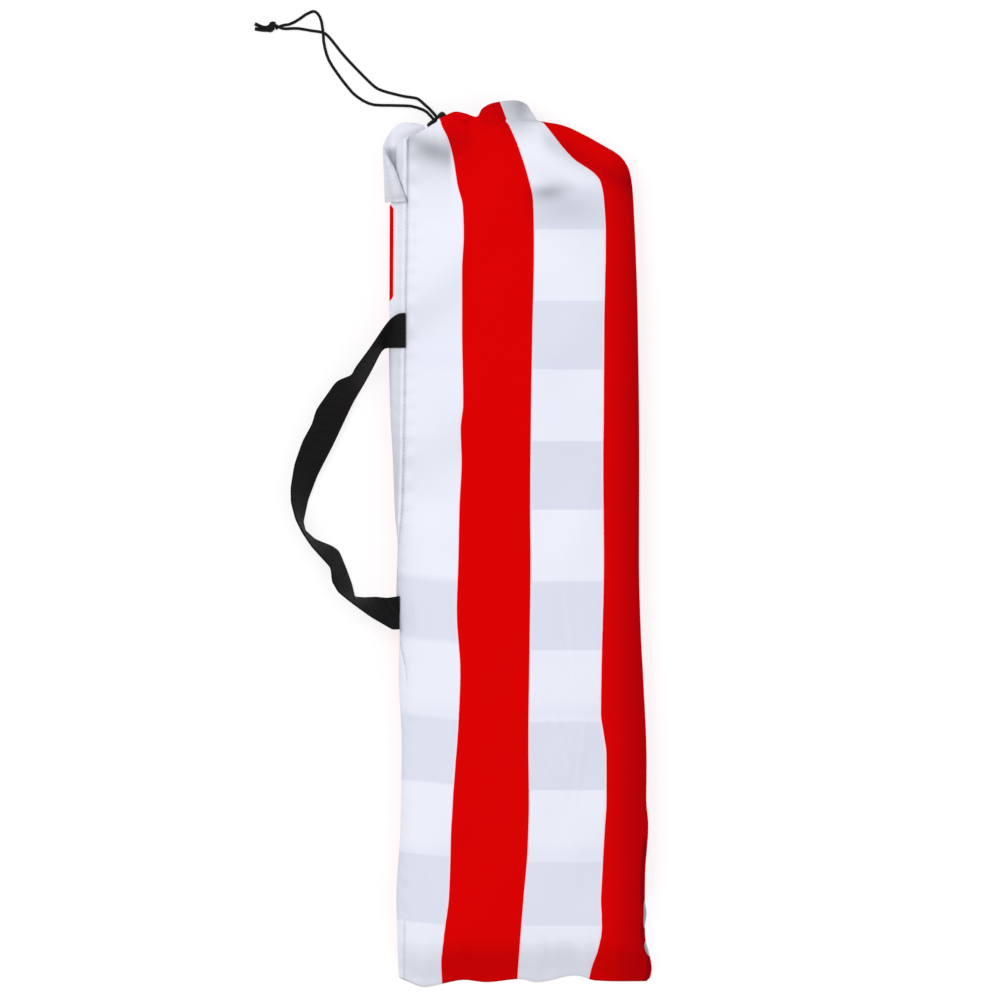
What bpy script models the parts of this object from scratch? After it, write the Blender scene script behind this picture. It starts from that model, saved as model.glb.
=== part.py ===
"""Packed windsock kit: a striped drawstring carry bag with its handle, drawcord and cord lock,
holding a plug-together pole, its swivel head, a ground spike, a hoop rod and the folded windsock.

Metres, +Z up. The bag lies on its back with its mouth towards +Y. The origin is under the middle
of the kit, on the surface that it lies on.
"""

import bpy
import bmesh
import math
from mathutils import Matrix, Vector

# Driving dimensions
STRIPE = 0.050
STRIPES_ACROSS = 4
CLOTH_WALL = 0.0012
GAP = 0.0003

TUBE_LENGTH = 0.530
TUBE_RADIUS = 0.008
TUBE_WALL = 0.001
POLE_SECTIONS = 4
ROW_GAP = 0.0008
FERRULE_LENGTH = 0.076
FERRULE_OUT = 0.038

SOCK_UNDER = 0.0108
SOCK_OVER = 0.0128
SOCK_LENGTH = 0.525
SOCK_GAP = 0.0012

HEM_HEIGHT = 0.0035
FOOT_ROOM = 0.0335
MOUTH_ROOM = 0.0315
SIDE_ROOM = 0.008
MOUTH_LEAN = 0.028
MOUTH_SIDE_ROOM = 0.007
BAG_LEFT = -0.0535

CORD_RADIUS = 0.00125
CASING_WALL = 0.001
CASING_DEPTH = 0.015
CASING_SETBACK = 0.002
LOOP_SETBACK = 0.008

WEBBING_WIDTH = 0.025
WEBBING_THICKNESS = 0.0015

LOCK_RADIUS = 0.0055
LOCK_HEIGHT = 0.0059
PLUNGER_RADIUS = 0.0034
PLUNGER_HEAD = 0.0035
PLUNGER_TRAVEL = 0.002
LOCK_WIRE = 0.0003

SPIKE_LENGTH = 0.300
SPIKE_RADIUS = 0.005
SPIGOT_LENGTH = 0.040
GUARD_LENGTH = 0.036
HOOP_LENGTH = 0.503
HOOP_RADIUS = 0.0015
JOINER_LENGTH = 0.040
PIN_RADIUS = 0.002
COLLAR_LENGTH = 0.007
RING_RADIUS = 0.006
RING_WIRE = 0.001

# Sizes and places that follow from them
BORE_RADIUS = TUBE_RADIUS - TUBE_WALL
SPIGOT_RADIUS = BORE_RADIUS - GAP
ROW_PITCH = 2 * TUBE_RADIUS + ROW_GAP
ROW_PLACES = POLE_SECTIONS + 1
ROW_X = BAG_LEFT + SIDE_ROOM + TUBE_RADIUS
ROW_RIGHT = ROW_X + (ROW_PLACES - 1) * ROW_PITCH + TUBE_RADIUS
ROW_Z = CLOTH_WALL + SOCK_GAP + SOCK_UNDER + ROW_GAP + TUBE_RADIUS
BAG_HEIGHT = ROW_Z + TUBE_RADIUS + ROW_GAP + SOCK_OVER + SOCK_GAP + CLOTH_WALL
BAG_LENGTH = FOOT_ROOM + TUBE_LENGTH + FERRULE_OUT + MOUTH_ROOM
BAG_WIDTH = STRIPE * STRIPES_ACROSS - 0.45 * BAG_HEIGHT
BAG_RIGHT = BAG_LEFT + BAG_WIDTH
FOOT_Y = -BAG_LENGTH / 2
MOUTH_Y = BAG_LENGTH / 2
TUBE_Y = FOOT_Y + FOOT_ROOM
TUBE_TOP = TUBE_Y + TUBE_LENGTH
CASING_OUT = CLOTH_WALL + 4 * GAP + 2 * CORD_RADIUS
CASING_IN = CASING_OUT + CASING_WALL
LOOP_INSET = CLOTH_WALL + 2 * GAP + CORD_RADIUS
MOUTH_LEFT = ROW_X - TUBE_RADIUS - CASING_IN - MOUTH_SIDE_ROOM
MOUTH_RIGHT = ROW_RIGHT + CASING_IN + 0.004
MOUTH_HEIGHT = 2 * ROW_Z - 0.002

RING_POINTS = 44
FLAT_SINK = 0.004
CORNER = 2.6
ROUND = 20

# Left bulge, right bulge and height share of the filled bag, from its foot to its shoulder
OUTLINE = (
    (0.000, 0.0010, -0.0060, 0.000),
    (0.010, 0.0005, 0.0015, 0.020),
    (0.022, 0.0005, 0.0036, 0.450),
    (0.038, -0.0005, 0.0020, 0.870),
    (0.060, 0.0000, -0.0010, 0.940),
    (0.120, 0.0000, -0.0020, 0.960),
    (0.260, 0.0030, 0.0000, 1.000),
    (0.410, 0.0015, -0.0040, 1.000),
    (0.600, -0.0030, -0.0055, 1.000),
    (0.750, -0.0055, -0.0065, 0.985),
    (0.860, -0.0065, -0.0090, 0.965),
    (0.914, -0.0070, -0.0110, 0.945),
)
SHOULDER = 0.914
NECK = 0.966

# Routes of the two free strands to the knot, with Y measured from the mouth
LOCK_CENTRE = Vector((-0.0233, MOUTH_Y - 0.0145, LOCK_HEIGHT))
CORD_WAY = Vector((-0.66, 0.75, 0.0)).normalized()
LOCK_AXIS = Vector((0.75, 0.66, 0.0)).normalized()
CORD_SPREAD = 0.00145
EXIT_REACH = 0.0100
STRAIGHT_REACH = 0.0110
FLOOR = CORD_RADIUS + 0.0001
LONG_ROUTE = (
    (-0.0364, -0.0044, 0.0050),
    (-0.0436, -0.0023, 0.0034),
    (-0.0512, -0.0019, 0.0020),
    (-0.0593, -0.0017, FLOOR),
    (-0.0721, -0.0009, FLOOR),
    (-0.0829, 0.0050, FLOOR),
    (-0.0900, 0.0127, FLOOR),
    (-0.0971, 0.0222, FLOOR),
    (-0.1029, 0.0317, 0.0017),
    (-0.1059, 0.0424, 0.0032),
    (-0.1065, 0.0506, 0.0043),
    (-0.1083, 0.0603, 0.0030),
    (-0.1124, 0.0654, 0.0016),
    (-0.1184, 0.0636, FLOOR),
    (-0.1253, 0.0588, FLOOR),
    (-0.1310, 0.0562, FLOOR),
)
SHORT_ROUTE = (
    (-0.0343, -0.0009, 0.0050),
    (-0.0392, 0.0031, 0.0036),
    (-0.0473, 0.0045, 0.0021),
    (-0.0560, 0.0065, FLOOR),
    (-0.0650, 0.0091, FLOOR),
    (-0.0709, 0.0127, FLOOR),
    (-0.0829, 0.0246, FLOOR),
    (-0.0923, 0.0347, FLOOR),
    (-0.1017, 0.0465, FLOOR),
    (-0.1065, 0.0503, FLOOR),
    (-0.1148, 0.0517, FLOOR),
    (-0.1243, 0.0533, FLOOR),
    (-0.1310, 0.0532, FLOOR),
)
KNOT = Vector((-0.1436, MOUTH_Y + 0.0544, 0.0034))
KNOT_HALF = Vector((0.0042, 0.0036, 0.0031))
KNOT_SPREAD = 0.00145
TAIL_LENGTH = 0.0095

# Handle: centre, heading across the floor and roll of the webbing, from its upper to lower root
HANDLE_WAY = (
    (-0.0640, 0.1535, 0.0200, 180, 0),
    (-0.0700, 0.1370, 0.0150, 222, 45),
    (-0.0790, 0.1220, 0.0125, 238, 60),
    (-0.0890, 0.1095, 0.0105, 240, 44),
    (-0.0980, 0.0920, 0.0098, 243, 40),
    (-0.1060, 0.0770, 0.0095, 245, 40),
    (-0.1160, 0.0570, 0.0098, 248, 42),
    (-0.1220, 0.0380, 0.0115, 256, 57),
    (-0.1237, 0.0240, 0.0128, 275, 75),
    (-0.1208, 0.0110, 0.0133, 300, 92),
    (-0.1120, 0.0000, 0.0125, 318, 118),
    (-0.1035, -0.0080, 0.0115, 315, 129),
    (-0.0968, -0.0180, 0.0120, 300, 122),
    (-0.0905, -0.0300, 0.0125, 305, 118),
    (-0.0790, -0.0405, 0.0140, 333, 128),
    (-0.0680, -0.0455, 0.0170, 345, 158),
    (-0.0590, -0.0475, 0.0200, 355, 180),
)
SEAM_ANGLE = 157
ROOT_ANGLE = 178.5


def clear_scene():
    for obj in list(bpy.data.objects):
        bpy.data.objects.remove(obj, do_unlink=True)


def material(name, colour, roughness, metallic=0.0):
    made = bpy.data.materials.new(name)
    made.use_nodes = True
    shader = made.node_tree.nodes["Principled BSDF"]
    shader.inputs["Base Color"].default_value = (*colour, 1.0)
    shader.inputs["Roughness"].default_value = roughness
    shader.inputs["Metallic"].default_value = metallic
    return made


def cloth_red_white():
    return material("striped polyester", (0.72, 0.20, 0.22), 0.55)


def black_cord():
    return material("black cord", (0.012, 0.012, 0.014), 0.6)


def black_webbing():
    return material("black webbing", (0.015, 0.015, 0.017), 0.7)


def black_plastic():
    return material("black acetal", (0.02, 0.02, 0.022), 0.35)


def aluminium():
    return material("anodised aluminium", (0.78, 0.79, 0.80), 0.32, 1.0)


def steel():
    return material("zinc-plated steel", (0.62, 0.62, 0.60), 0.38, 1.0)


def fibreglass():
    return material("glass fibre rod", (0.80, 0.79, 0.72), 0.45)


def folded_cloth():
    return material("folded windsock cloth", (0.86, 0.55, 0.55), 0.6)


def object_of(name, mesh, look, origin=Vector()):
    mesh.transform(Matrix.Translation(-origin))
    mesh.materials.append(look)
    obj = bpy.data.objects.new(name, mesh)
    obj.location = origin
    bpy.context.scene.collection.objects.link(obj)
    return obj


def finished_mesh(name, bm, angle=40.0):
    bmesh.ops.recalc_face_normals(bm, faces=bm.faces)
    mesh = bpy.data.meshes.new(name)
    bm.to_mesh(mesh)
    bm.free()
    mesh.shade_smooth()
    mesh.set_sharp_from_angle(angle=math.radians(angle))
    return mesh


def lofted(name, rings, look, closed=False, origin=Vector()):
    """A solid through rings of equal count, capped at its ends or, if closed, joined into a loop."""
    bm = bmesh.new()
    rows = [[bm.verts.new(p) for p in ring] for ring in rings]
    count = len(rows[0])
    pairs = list(zip(rows, rows[1:]))
    if closed:
        pairs.append((rows[-1], rows[0]))
    for near, far in pairs:
        for i in range(count):
            j = (i + 1) % count
            bm.faces.new((near[i], near[j], far[j], far[i]))
    if not closed:
        bm.faces.new(rows[0])
        bm.faces.new(rows[-1])
    return object_of(name, finished_mesh(name, bm), look, origin)


def turned(name, profile, look, centre, axis=Vector((0, 1, 0)), bored=False, segments=ROUND):
    """A turned solid about axis: profile is (radius, distance along the axis) from centre."""
    spin = Vector((0, 0, 1)).rotation_difference(axis).to_matrix()
    rings = []
    for radius, along in profile:
        ring = []
        for i in range(segments):
            angle = 2 * math.pi * i / segments
            local = Vector((radius * math.cos(angle), radius * math.sin(angle), along))
            ring.append(centre + spin @ local)
        rings.append(ring)
    return lofted(name, rings, look, closed=bored, origin=centre)


def power(value, exponent):
    return math.copysign(abs(value) ** exponent, value)


def smooth(share):
    share = min(1.0, max(0.0, share))
    return share * share * (3 - 2 * share)


def mixed(low, high, share):
    return low + (high - low) * share


def catmull(points, per_span):
    """A smooth curve through the points, tuple by tuple."""
    rows = [tuple(p) for p in points]
    ends = [rows[0]] + rows + [rows[-1]]
    found = []
    for i in range(len(rows) - 1):
        a, b, c, d = ends[i : i + 4]
        for k in range(per_span):
            t = k / per_span
            found.append(
                tuple(
                    0.5 * (2 * q + (r - p) * t + (2 * p - 5 * q + 4 * r - s) * t * t
                           + (3 * q - p - 3 * r + s) * t ** 3)
                    for p, q, r, s in zip(a, b, c, d)
                )
            )
    found.append(rows[-1])
    return found


def evenly(points, spacing):
    """Points at an even spacing along a polyline."""
    path = [Vector(p) for p in points]
    reach = [0.0]
    for a, b in zip(path, path[1:]):
        reach.append(reach[-1] + (b - a).length)
    count = max(2, round(reach[-1] / spacing))
    found = []
    place = 0
    for k in range(count + 1):
        wanted = reach[-1] * k / count
        while place < len(path) - 2 and reach[place + 1] < wanted:
            place += 1
        span = reach[place + 1] - reach[place]
        found.append(path[place].lerp(path[place + 1], (wanted - reach[place]) / span))
    return found


def cord_object(name, route, look, radius=CORD_RADIUS, spacing=0.006):
    data = bpy.data.curves.new(name, "CURVE")
    data.dimensions = "3D"
    data.bevel_depth = radius
    data.bevel_resolution = 2
    data.use_fill_caps = True
    points = evenly(catmull(route, 12), spacing)
    spline = data.splines.new("POLY")
    spline.points.add(len(points) - 1)
    for made, p in zip(spline.points, points):
        made.co = (*p, 1.0)
    data.materials.append(look)
    obj = bpy.data.objects.new(name, data)
    bpy.context.scene.collection.objects.link(obj)
    return obj


# The bag's shape: every cloth piece reads its section from these functions


def outline_at(y):
    """Left side, right side and height of the filled bag at a distance along it."""
    share = (y - FOOT_Y) / BAG_LENGTH
    rows = OUTLINE
    share_in = min(max(share, rows[0][0]), rows[-1][0])
    place = 0
    while place < len(rows) - 2 and rows[place + 1][0] < share_in:
        place += 1
    a, b = rows[place], rows[place + 1]
    t = (share_in - a[0]) / (b[0] - a[0])
    left = BAG_LEFT + mixed(a[1], b[1], t)
    right = BAG_RIGHT + mixed(a[2], b[2], t)
    height = max(HEM_HEIGHT, BAG_HEIGHT * mixed(a[3], b[3], t))
    if share > SHOULDER:
        turn = min(1.0, (share - SHOULDER) / (NECK - SHOULDER))
        fall = 1 - math.sqrt(max(0.0, 1 - turn * turn))
        right = mixed(right, MOUTH_RIGHT, smooth(0.35 * turn + 0.65 * fall))
        left = mixed(left, MOUTH_LEFT, smooth(turn))
        height = mixed(height, MOUTH_HEIGHT, smooth(turn))
    return left, right, height


def rim_offset(x_share, z_share):
    """How far the mouth's edge stands back from its furthest point: the front edge is the longer."""
    front = -0.018 * max(0.0, 0.3 - x_share) ** 2
    return mixed(-MOUTH_LEAN, front, smooth(z_share))


def section_point(y, angle, inset):
    left, right, height = outline_at(y)
    half_x = (right - left) / 2 - inset
    half_z = (height + FLAT_SINK) / 2 - inset
    x_share = power(math.cos(angle), 2 / CORNER)
    z_share = power(math.sin(angle), 2 / CORNER)
    x = (left + right) / 2 + half_x * x_share
    z = max(inset, (height - FLAT_SINK) / 2 + half_z * z_share)
    below = MOUTH_Y - y
    fade = 1 - smooth((below - 0.020) / 0.055)
    return Vector((x, y + fade * rim_offset(x_share, z / height), z))


def section_ring(y, inset):
    return [
        section_point(y, 2 * math.pi * i / RING_POINTS, inset) for i in range(RING_POINTS)
    ]


def casing_levels():
    """Heights along the bag of the casing's lower edge, lip, middle and upper edge."""
    top = MOUTH_Y - CASING_SETBACK
    low = top - CASING_DEPTH
    return low, low + CASING_WALL, low + 2 * CASING_WALL, (low + top) / 2, top


def bag_stations():
    body = [FOOT_Y + BAG_LENGTH * row[0] for row in OUTLINE]
    between = [(a + b) / 2 for a, b in zip(body[4:], body[5:])]
    shoulder = [
        FOOT_Y + BAG_LENGTH * mixed(SHOULDER, NECK, k / 6) for k in range(1, 7)
    ]
    levels = [y for y in casing_levels() if min(abs(y - other) for other in shoulder) > 1e-5]
    return sorted(body + between + shoulder + levels) + [MOUTH_Y]


def bag_shell(look):
    stations = bag_stations()
    outer = [section_ring(y, 0.0) for y in stations]
    inner = [
        section_ring(y, CLOTH_WALL)
        for y in reversed(stations)
        if outline_at(y)[2] > 6 * CLOTH_WALL
    ]
    return lofted("bag_shell", outer + inner, look)


def drawcord_casing(look):
    """The inner hem of the mouth: a band that leaves a channel for the cord, open at the mouth."""
    lip = CLOTH_WALL + 4 * GAP
    low, lip_top, channel, middle, top = casing_levels()
    profile = (
        (lip, low),
        (CASING_IN, low),
        (CASING_IN, middle),
        (CASING_IN, top),
        (CASING_OUT, top),
        (CASING_OUT, middle),
        (CASING_OUT, channel),
        (lip, lip_top),
    )
    rings = [section_ring(y, inset) for inset, y in profile]
    return lofted("drawcord_casing", rings, look, closed=True)


def strand_places(side):
    """Where a strand leaves the loop, the lock's hole, and the end of its straight run."""
    middle = LOCK_CENTRE + side * CORD_SPREAD * LOCK_AXIS
    start = middle - EXIT_REACH * CORD_WAY
    start.z = LOCK_HEIGHT - 0.0012
    return start, middle, middle + STRAIGHT_REACH * CORD_WAY


def drawcord_loop(look):
    y = MOUTH_Y - LOOP_SETBACK
    left, right, _ = outline_at(y)
    centre = (left + right) / 2
    half = (right - left) / 2 - LOOP_INSET

    def angle_at(x):
        share = (x - centre) / half
        return 2 * math.pi - math.acos(power(share, CORNER / 2))

    first = angle_at(0.001)
    last = angle_at(-0.0225) + 2 * math.pi
    ring = [section_point(y, mixed(first, last, k / 60), LOOP_INSET) for k in range(61)]
    long_start = strand_places(-1)[0]
    short_start = strand_places(1)[0]
    back_y = ring[0].y
    low = LOOP_INSET
    from_short = [
        short_start - GAP * CORD_WAY,
        short_start - 0.0060 * CORD_WAY - Vector((0, 0, 0.0012)),
        Vector((short_start.x + 0.0068, back_y + 0.0068, low)),
        Vector((short_start.x + 0.0098, back_y + 0.0019, low)),
    ]
    to_long = [
        Vector((long_start.x - 0.0002, back_y + 0.0008, low)),
        Vector((long_start.x + 0.0044, back_y + 0.0046, low)),
        long_start - 0.0050 * CORD_WAY - Vector((0, 0, 0.0010)),
        long_start - GAP * CORD_WAY,
    ]
    return cord_object("drawcord_loop", from_short + ring + to_long, look, spacing=0.0045)


def strand(name, side, route, look):
    start, middle, straight = strand_places(side)
    enter = KNOT + Vector((KNOT_HALF.x + GAP, side_of_knot(side), FLOOR - KNOT.z))
    before = enter + Vector((0.0045, 0, 0))
    way = [Vector((x, MOUTH_Y + y, z)) for x, y, z in route]
    points = [start, middle, straight, *way, before, enter]
    return cord_object(name, points, look)


def side_of_knot(side):
    """The long strand comes in beside the short one, on the far side of the knot."""
    return -side * KNOT_SPREAD


def drawcord_knot(look):
    """A tight overhand knot and its two short cut tails."""
    steps = 9
    profile = []
    for k in range(steps + 1):
        turn = math.pi * (0.06 + 0.88 * k / steps)
        profile.append((math.sin(turn), -math.cos(turn)))
    knot = turned("drawcord_knot", profile, look, Vector(), segments=16)
    for vertex in knot.data.vertices:
        vertex.co = Vector(
            (
                vertex.co.y * KNOT_HALF.x * 1.003,
                vertex.co.x * KNOT_HALF.y,
                vertex.co.z * KNOT_HALF.z,
            )
        )
    knot.location = KNOT
    knot.data.flip_normals()
    for side in (-1, 1):
        start = KNOT + Vector((-0.001, side * 0.0008, -0.0008))
        way = Vector((-1.0, 0.16 * side, -0.06)).normalized()
        tail = turned(
            f"knot_tail_{side}",
            ((CORD_RADIUS, 0.0), (CORD_RADIUS, TAIL_LENGTH + 0.003)),
            look,
            start,
            axis=way,
            segments=10,
        )
        tail.hide_render = True
        tail.display_type = "WIRE"
        join = knot.modifiers.new(tail.name, "BOOLEAN")
        join.operation = "UNION"
        join.object = tail
    return knot


def lock_frame():
    """Rotation that takes +Z to the cord lock's own axis, with +X up."""
    return Matrix((Vector((0, 0, 1)), LOCK_AXIS.cross(Vector((0, 0, 1))), LOCK_AXIS)).transposed()


def slot_cutter(name, low, high, centre, look):
    """A box through the lock along the cords, from low to high along the lock's axis."""
    bm = bmesh.new()
    bmesh.ops.create_cube(bm, size=1.0)
    height = 2 * CORD_RADIUS + 0.0011
    bmesh.ops.scale(bm, verts=bm.verts, vec=(height, 5 * LOCK_RADIUS, high - low))
    bmesh.ops.translate(bm, verts=bm.verts, vec=(0, 0, (low + high) / 2))
    bm.transform(lock_frame().to_4x4())
    bmesh.ops.translate(bm, verts=bm.verts, vec=centre)
    cutter = object_of(name, finished_mesh(name, bm), look)
    cutter.hide_render = True
    cutter.display_type = "WIRE"
    return cutter


def cut(target, cutter):
    modifier = target.modifiers.new(cutter.name, "BOOLEAN")
    modifier.operation = "DIFFERENCE"
    modifier.object = cutter


def cord_lock(look, spring_look):
    """Barrel, sprung plunger and spring. The cords run side by side through both."""
    hole = CORD_SPREAD + CORD_RADIUS + 0.0005
    mouth = -0.0080
    closed_end = 0.0077
    bore = PLUNGER_RADIUS + GAP
    stem_end = hole + 0.0008
    bore_end = closed_end - 0.0009
    edge = 0.0010
    barrel = turned(
        "cord_lock_barrel",
        (
            (LOCK_RADIUS - edge, mouth),
            (LOCK_RADIUS, mouth + edge),
            (LOCK_RADIUS, closed_end - 2 * edge),
            (LOCK_RADIUS - 0.6 * edge, closed_end - 0.6 * edge),
            (LOCK_RADIUS - 2 * edge, closed_end),
            (0.0004, closed_end),
            (0.0004, bore_end),
            (bore, bore_end),
            (bore, mouth),
        ),
        look,
        LOCK_CENTRE,
        axis=LOCK_AXIS,
        bored=True,
        segments=24,
    )
    cut(barrel, slot_cutter("barrel_slot", -hole, hole, LOCK_CENTRE, look))
    head = mouth - PLUNGER_HEAD
    rest_gap = PLUNGER_TRAVEL + GAP
    plunger = turned(
        "cord_lock_plunger",
        (
            (LOCK_RADIUS - 2 * edge, head),
            (LOCK_RADIUS - edge, head + 0.6 * edge),
            (LOCK_RADIUS - edge, mouth - rest_gap),
            (PLUNGER_RADIUS, mouth - rest_gap),
            (PLUNGER_RADIUS, stem_end),
        ),
        look,
        LOCK_CENTRE,
        axis=LOCK_AXIS,
        segments=24,
    )
    slot = slot_cutter("plunger_slot", -hole - PLUNGER_TRAVEL, hole - 0.0004, LOCK_CENTRE, look)
    cut(plunger, slot)
    turns = 2.5
    steps = 44
    radius = PLUNGER_RADIUS - 0.0008
    low = stem_end + GAP + LOCK_WIRE
    high = bore_end - GAP - LOCK_WIRE
    spin = lock_frame()
    coil = []
    for k in range(steps + 1):
        angle = 2 * math.pi * turns * k / steps
        local = Vector((radius * math.cos(angle), radius * math.sin(angle),
                        mixed(low, high, k / steps)))
        coil.append(LOCK_CENTRE + spin @ local)
    cord_object("cord_lock_spring", coil, spring_look, radius=LOCK_WIRE, spacing=0.0009)


# Handle


def webbing_rings(stations, samples):
    rings = []
    rows = catmull(stations, samples)
    for index, (x, y, z, heading, roll) in enumerate(rows):
        before = Vector(rows[max(index - 1, 0)][:3])
        after = Vector(rows[min(index + 1, len(rows) - 1)][:3])
        way = (after - before).normalized()
        turn = math.radians(heading)
        lean = math.radians(roll)
        across = Vector(
            (math.sin(turn) * math.cos(lean), -math.cos(turn) * math.cos(lean), math.sin(lean))
        )
        face = way.cross(across).normalized()
        centre = Vector((x, y, z))
        half = across * WEBBING_WIDTH / 2
        thick = face * WEBBING_THICKNESS / 2
        rings.append([centre + half + thick, centre - half + thick,
                      centre - half - thick, centre + half - thick])
    return rings


def handle_axis():
    top = Vector(HANDLE_WAY[0][:3])
    low = Vector(HANDLE_WAY[-1][:3])
    return top, (top - low).normalized()


def handle_strap(look):
    rings = webbing_rings(HANDLE_WAY, 3)
    for ring in rings:
        lowest = min(p.z for p in ring)
        lift = max(0.0, GAP - lowest)
        for p in ring:
            p.z += lift
    origin, _ = handle_axis()
    return lofted("handle_strap", rings, look, origin=origin)


def handle_end(name, y, look):
    """A sewn end of the webbing, wrapped round the bag's side from the seam to the strap's root."""
    rings = []
    for k in range(7):
        angle = math.radians(mixed(SEAM_ANGLE, ROOT_ANGLE, k / 6))
        ring = []
        for inset, side in ((-GAP, 1), (-GAP, -1), (-GAP - WEBBING_THICKNESS, -1),
                            (-GAP - WEBBING_THICKNESS, 1)):
            ring.append(section_point(y + side * WEBBING_WIDTH / 2, angle, inset))
        rings.append(ring)
    return lofted(name, rings, look)


# Pole, swivel head, spike and hoop


def row_centre(place):
    return Vector((ROW_X + place * ROW_PITCH, 0.0, ROW_Z))


def pole_tube(place, look):
    centre = row_centre(place) + Vector((0, TUBE_Y, 0))
    edge = 0.0003
    return turned(
        f"pole_tube_{place + 1}",
        (
            (TUBE_RADIUS - edge, 0),
            (TUBE_RADIUS, edge),
            (TUBE_RADIUS, TUBE_LENGTH - edge),
            (TUBE_RADIUS - edge, TUBE_LENGTH),
            (BORE_RADIUS, TUBE_LENGTH),
            (BORE_RADIUS, 0),
        ),
        look,
        centre,
        bored=True,
    )


def ferrule(place, look):
    """A spigot half in its tube, with a chamfered nose that guides it into the next one."""
    low = TUBE_TOP + FERRULE_OUT - FERRULE_LENGTH
    nose = 0.002
    return turned(
        f"ferrule_{place + 1}",
        (
            (SPIGOT_RADIUS - nose / 2, 0),
            (SPIGOT_RADIUS, nose / 2),
            (SPIGOT_RADIUS, FERRULE_LENGTH - nose),
            (SPIGOT_RADIUS - nose, FERRULE_LENGTH),
            (SPIGOT_RADIUS - 2 * nose, FERRULE_LENGTH),
            (SPIGOT_RADIUS - 2 * nose, 0),
        ),
        look,
        row_centre(place) + Vector((0, low, 0)),
        bored=True,
    )


def swivel_head(place, plastic, metal):
    """Plug, pin, washer, turning collar and cap nut on the top section of the pole."""
    base = row_centre(place) + Vector((0, TUBE_TOP, 0))
    plug_depth = 0.030
    head = 0.007
    bore = PIN_RADIUS + GAP
    washer = 0.001
    pin_out = head + GAP + washer + GAP + COLLAR_LENGTH + GAP + 0.004
    turned(
        "top_plug",
        (
            (SPIGOT_RADIUS - 0.001, -plug_depth),
            (SPIGOT_RADIUS, -plug_depth + 0.001),
            (SPIGOT_RADIUS, GAP),
            (TUBE_RADIUS - GAP, GAP),
            (TUBE_RADIUS - GAP, head - 0.001),
            (TUBE_RADIUS - 0.0013, head),
            (bore, head),
            (bore, -plug_depth),
        ),
        plastic,
        base,
        bored=True,
    )
    turned(
        "swivel_pin",
        (
            (2 * PIN_RADIUS, -plug_depth - 0.003),
            (2 * PIN_RADIUS, -plug_depth - GAP),
            (PIN_RADIUS, -plug_depth - GAP),
            (PIN_RADIUS, pin_out),
        ),
        metal,
        base,
        segments=16,
    )
    at = head + GAP
    turned(
        "swivel_washer",
        ((0.0062, at), (0.0062, at + washer), (bore, at + washer), (bore, at)),
        metal,
        base,
        bored=True,
    )
    at += washer + GAP
    collar = turned(
        "swivel_collar",
        (
            (TUBE_RADIUS - 0.0012, at),
            (TUBE_RADIUS - 0.0006, at + 0.0006),
            (TUBE_RADIUS - 0.0006, at + COLLAR_LENGTH - 0.0006),
            (TUBE_RADIUS - 0.0012, at + COLLAR_LENGTH),
            (bore, at + COLLAR_LENGTH),
            (bore, at),
        ),
        metal,
        base,
        bored=True,
        segments=28,
    )
    for side in (-1, 1):
        hole = turned(
            f"collar_hole_{side}",
            ((0.0013, -0.012), (0.0013, 0.012)),
            metal,
            base + Vector((side * 0.0047, at + COLLAR_LENGTH / 2, 0)),
            axis=Vector((0, 0, 1)),
            segments=12,
        )
        hole.hide_render = True
        hole.display_type = "WIRE"
        cut(collar, hole)
    at += COLLAR_LENGTH + GAP
    nut_bore = bore / math.cos(math.pi / 6)
    turned(
        "swivel_nut",
        (
            (0.0038, at),
            (0.0038, at + 0.0030),
            (0.0030, at + 0.0042),
            (nut_bore, at + 0.0044),
            (nut_bore, at),
        ),
        metal,
        base,
        bored=True,
        segments=6,
    )


def ground_spike(place, metal, plastic):
    """Spigot that plugs into the pole's foot, a stop flange and a pointed shank with its guard."""
    base = row_centre(place) + Vector((0, TUBE_Y, 0))
    flange = 0.004
    shank_end = SPIKE_LENGTH - 0.022
    turned(
        "ground_spike",
        (
            (SPIGOT_RADIUS - 0.001, 0),
            (SPIGOT_RADIUS, 0.001),
            (SPIGOT_RADIUS, SPIGOT_LENGTH),
            (TUBE_RADIUS, SPIGOT_LENGTH),
            (TUBE_RADIUS, SPIGOT_LENGTH + flange),
            (SPIKE_RADIUS, SPIGOT_LENGTH + flange),
            (SPIKE_RADIUS, shank_end),
            (0.0006, SPIKE_LENGTH),
        ),
        metal,
        base,
    )
    low = shank_end - 0.010
    turned(
        "spike_guard",
        (
            (SPIKE_RADIUS + GAP, low),
            (SPIKE_RADIUS + 0.0015, low),
            (SPIKE_RADIUS + 0.0015, low + GUARD_LENGTH - 0.001),
            (SPIKE_RADIUS + 0.0005, low + GUARD_LENGTH),
            (0.0006, low + GUARD_LENGTH),
            (0.0006, low + GUARD_LENGTH - 0.0015),
            (SPIKE_RADIUS + GAP, low + GUARD_LENGTH - 0.0015),
        ),
        plastic,
        base,
        bored=True,
    )


def hoop(glass, plastic):
    """The straight rod that is bent into the sock's mouth, lying under the gap of two tubes."""
    joiner = 0.0025
    reach = TUBE_RADIUS + joiner + GAP
    drop = math.sqrt(reach ** 2 - (ROW_PITCH / 2) ** 2)
    x = (row_centre(2).x + row_centre(3).x) / 2
    base = Vector((x, TUBE_Y, ROW_Z - drop))
    turned(
        "hoop_rod",
        ((HOOP_RADIUS, 0), (HOOP_RADIUS, HOOP_LENGTH)),
        glass,
        base,
        segments=12,
    )
    turned(
        "hoop_joiner",
        (
            (joiner, HOOP_LENGTH - JOINER_LENGTH / 2),
            (joiner, HOOP_LENGTH + JOINER_LENGTH / 2),
            (HOOP_RADIUS + GAP, HOOP_LENGTH + JOINER_LENGTH / 2),
            (HOOP_RADIUS + GAP, HOOP_LENGTH - JOINER_LENGTH / 2),
        ),
        plastic,
        base,
        bored=True,
        segments=12,
    )


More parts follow.
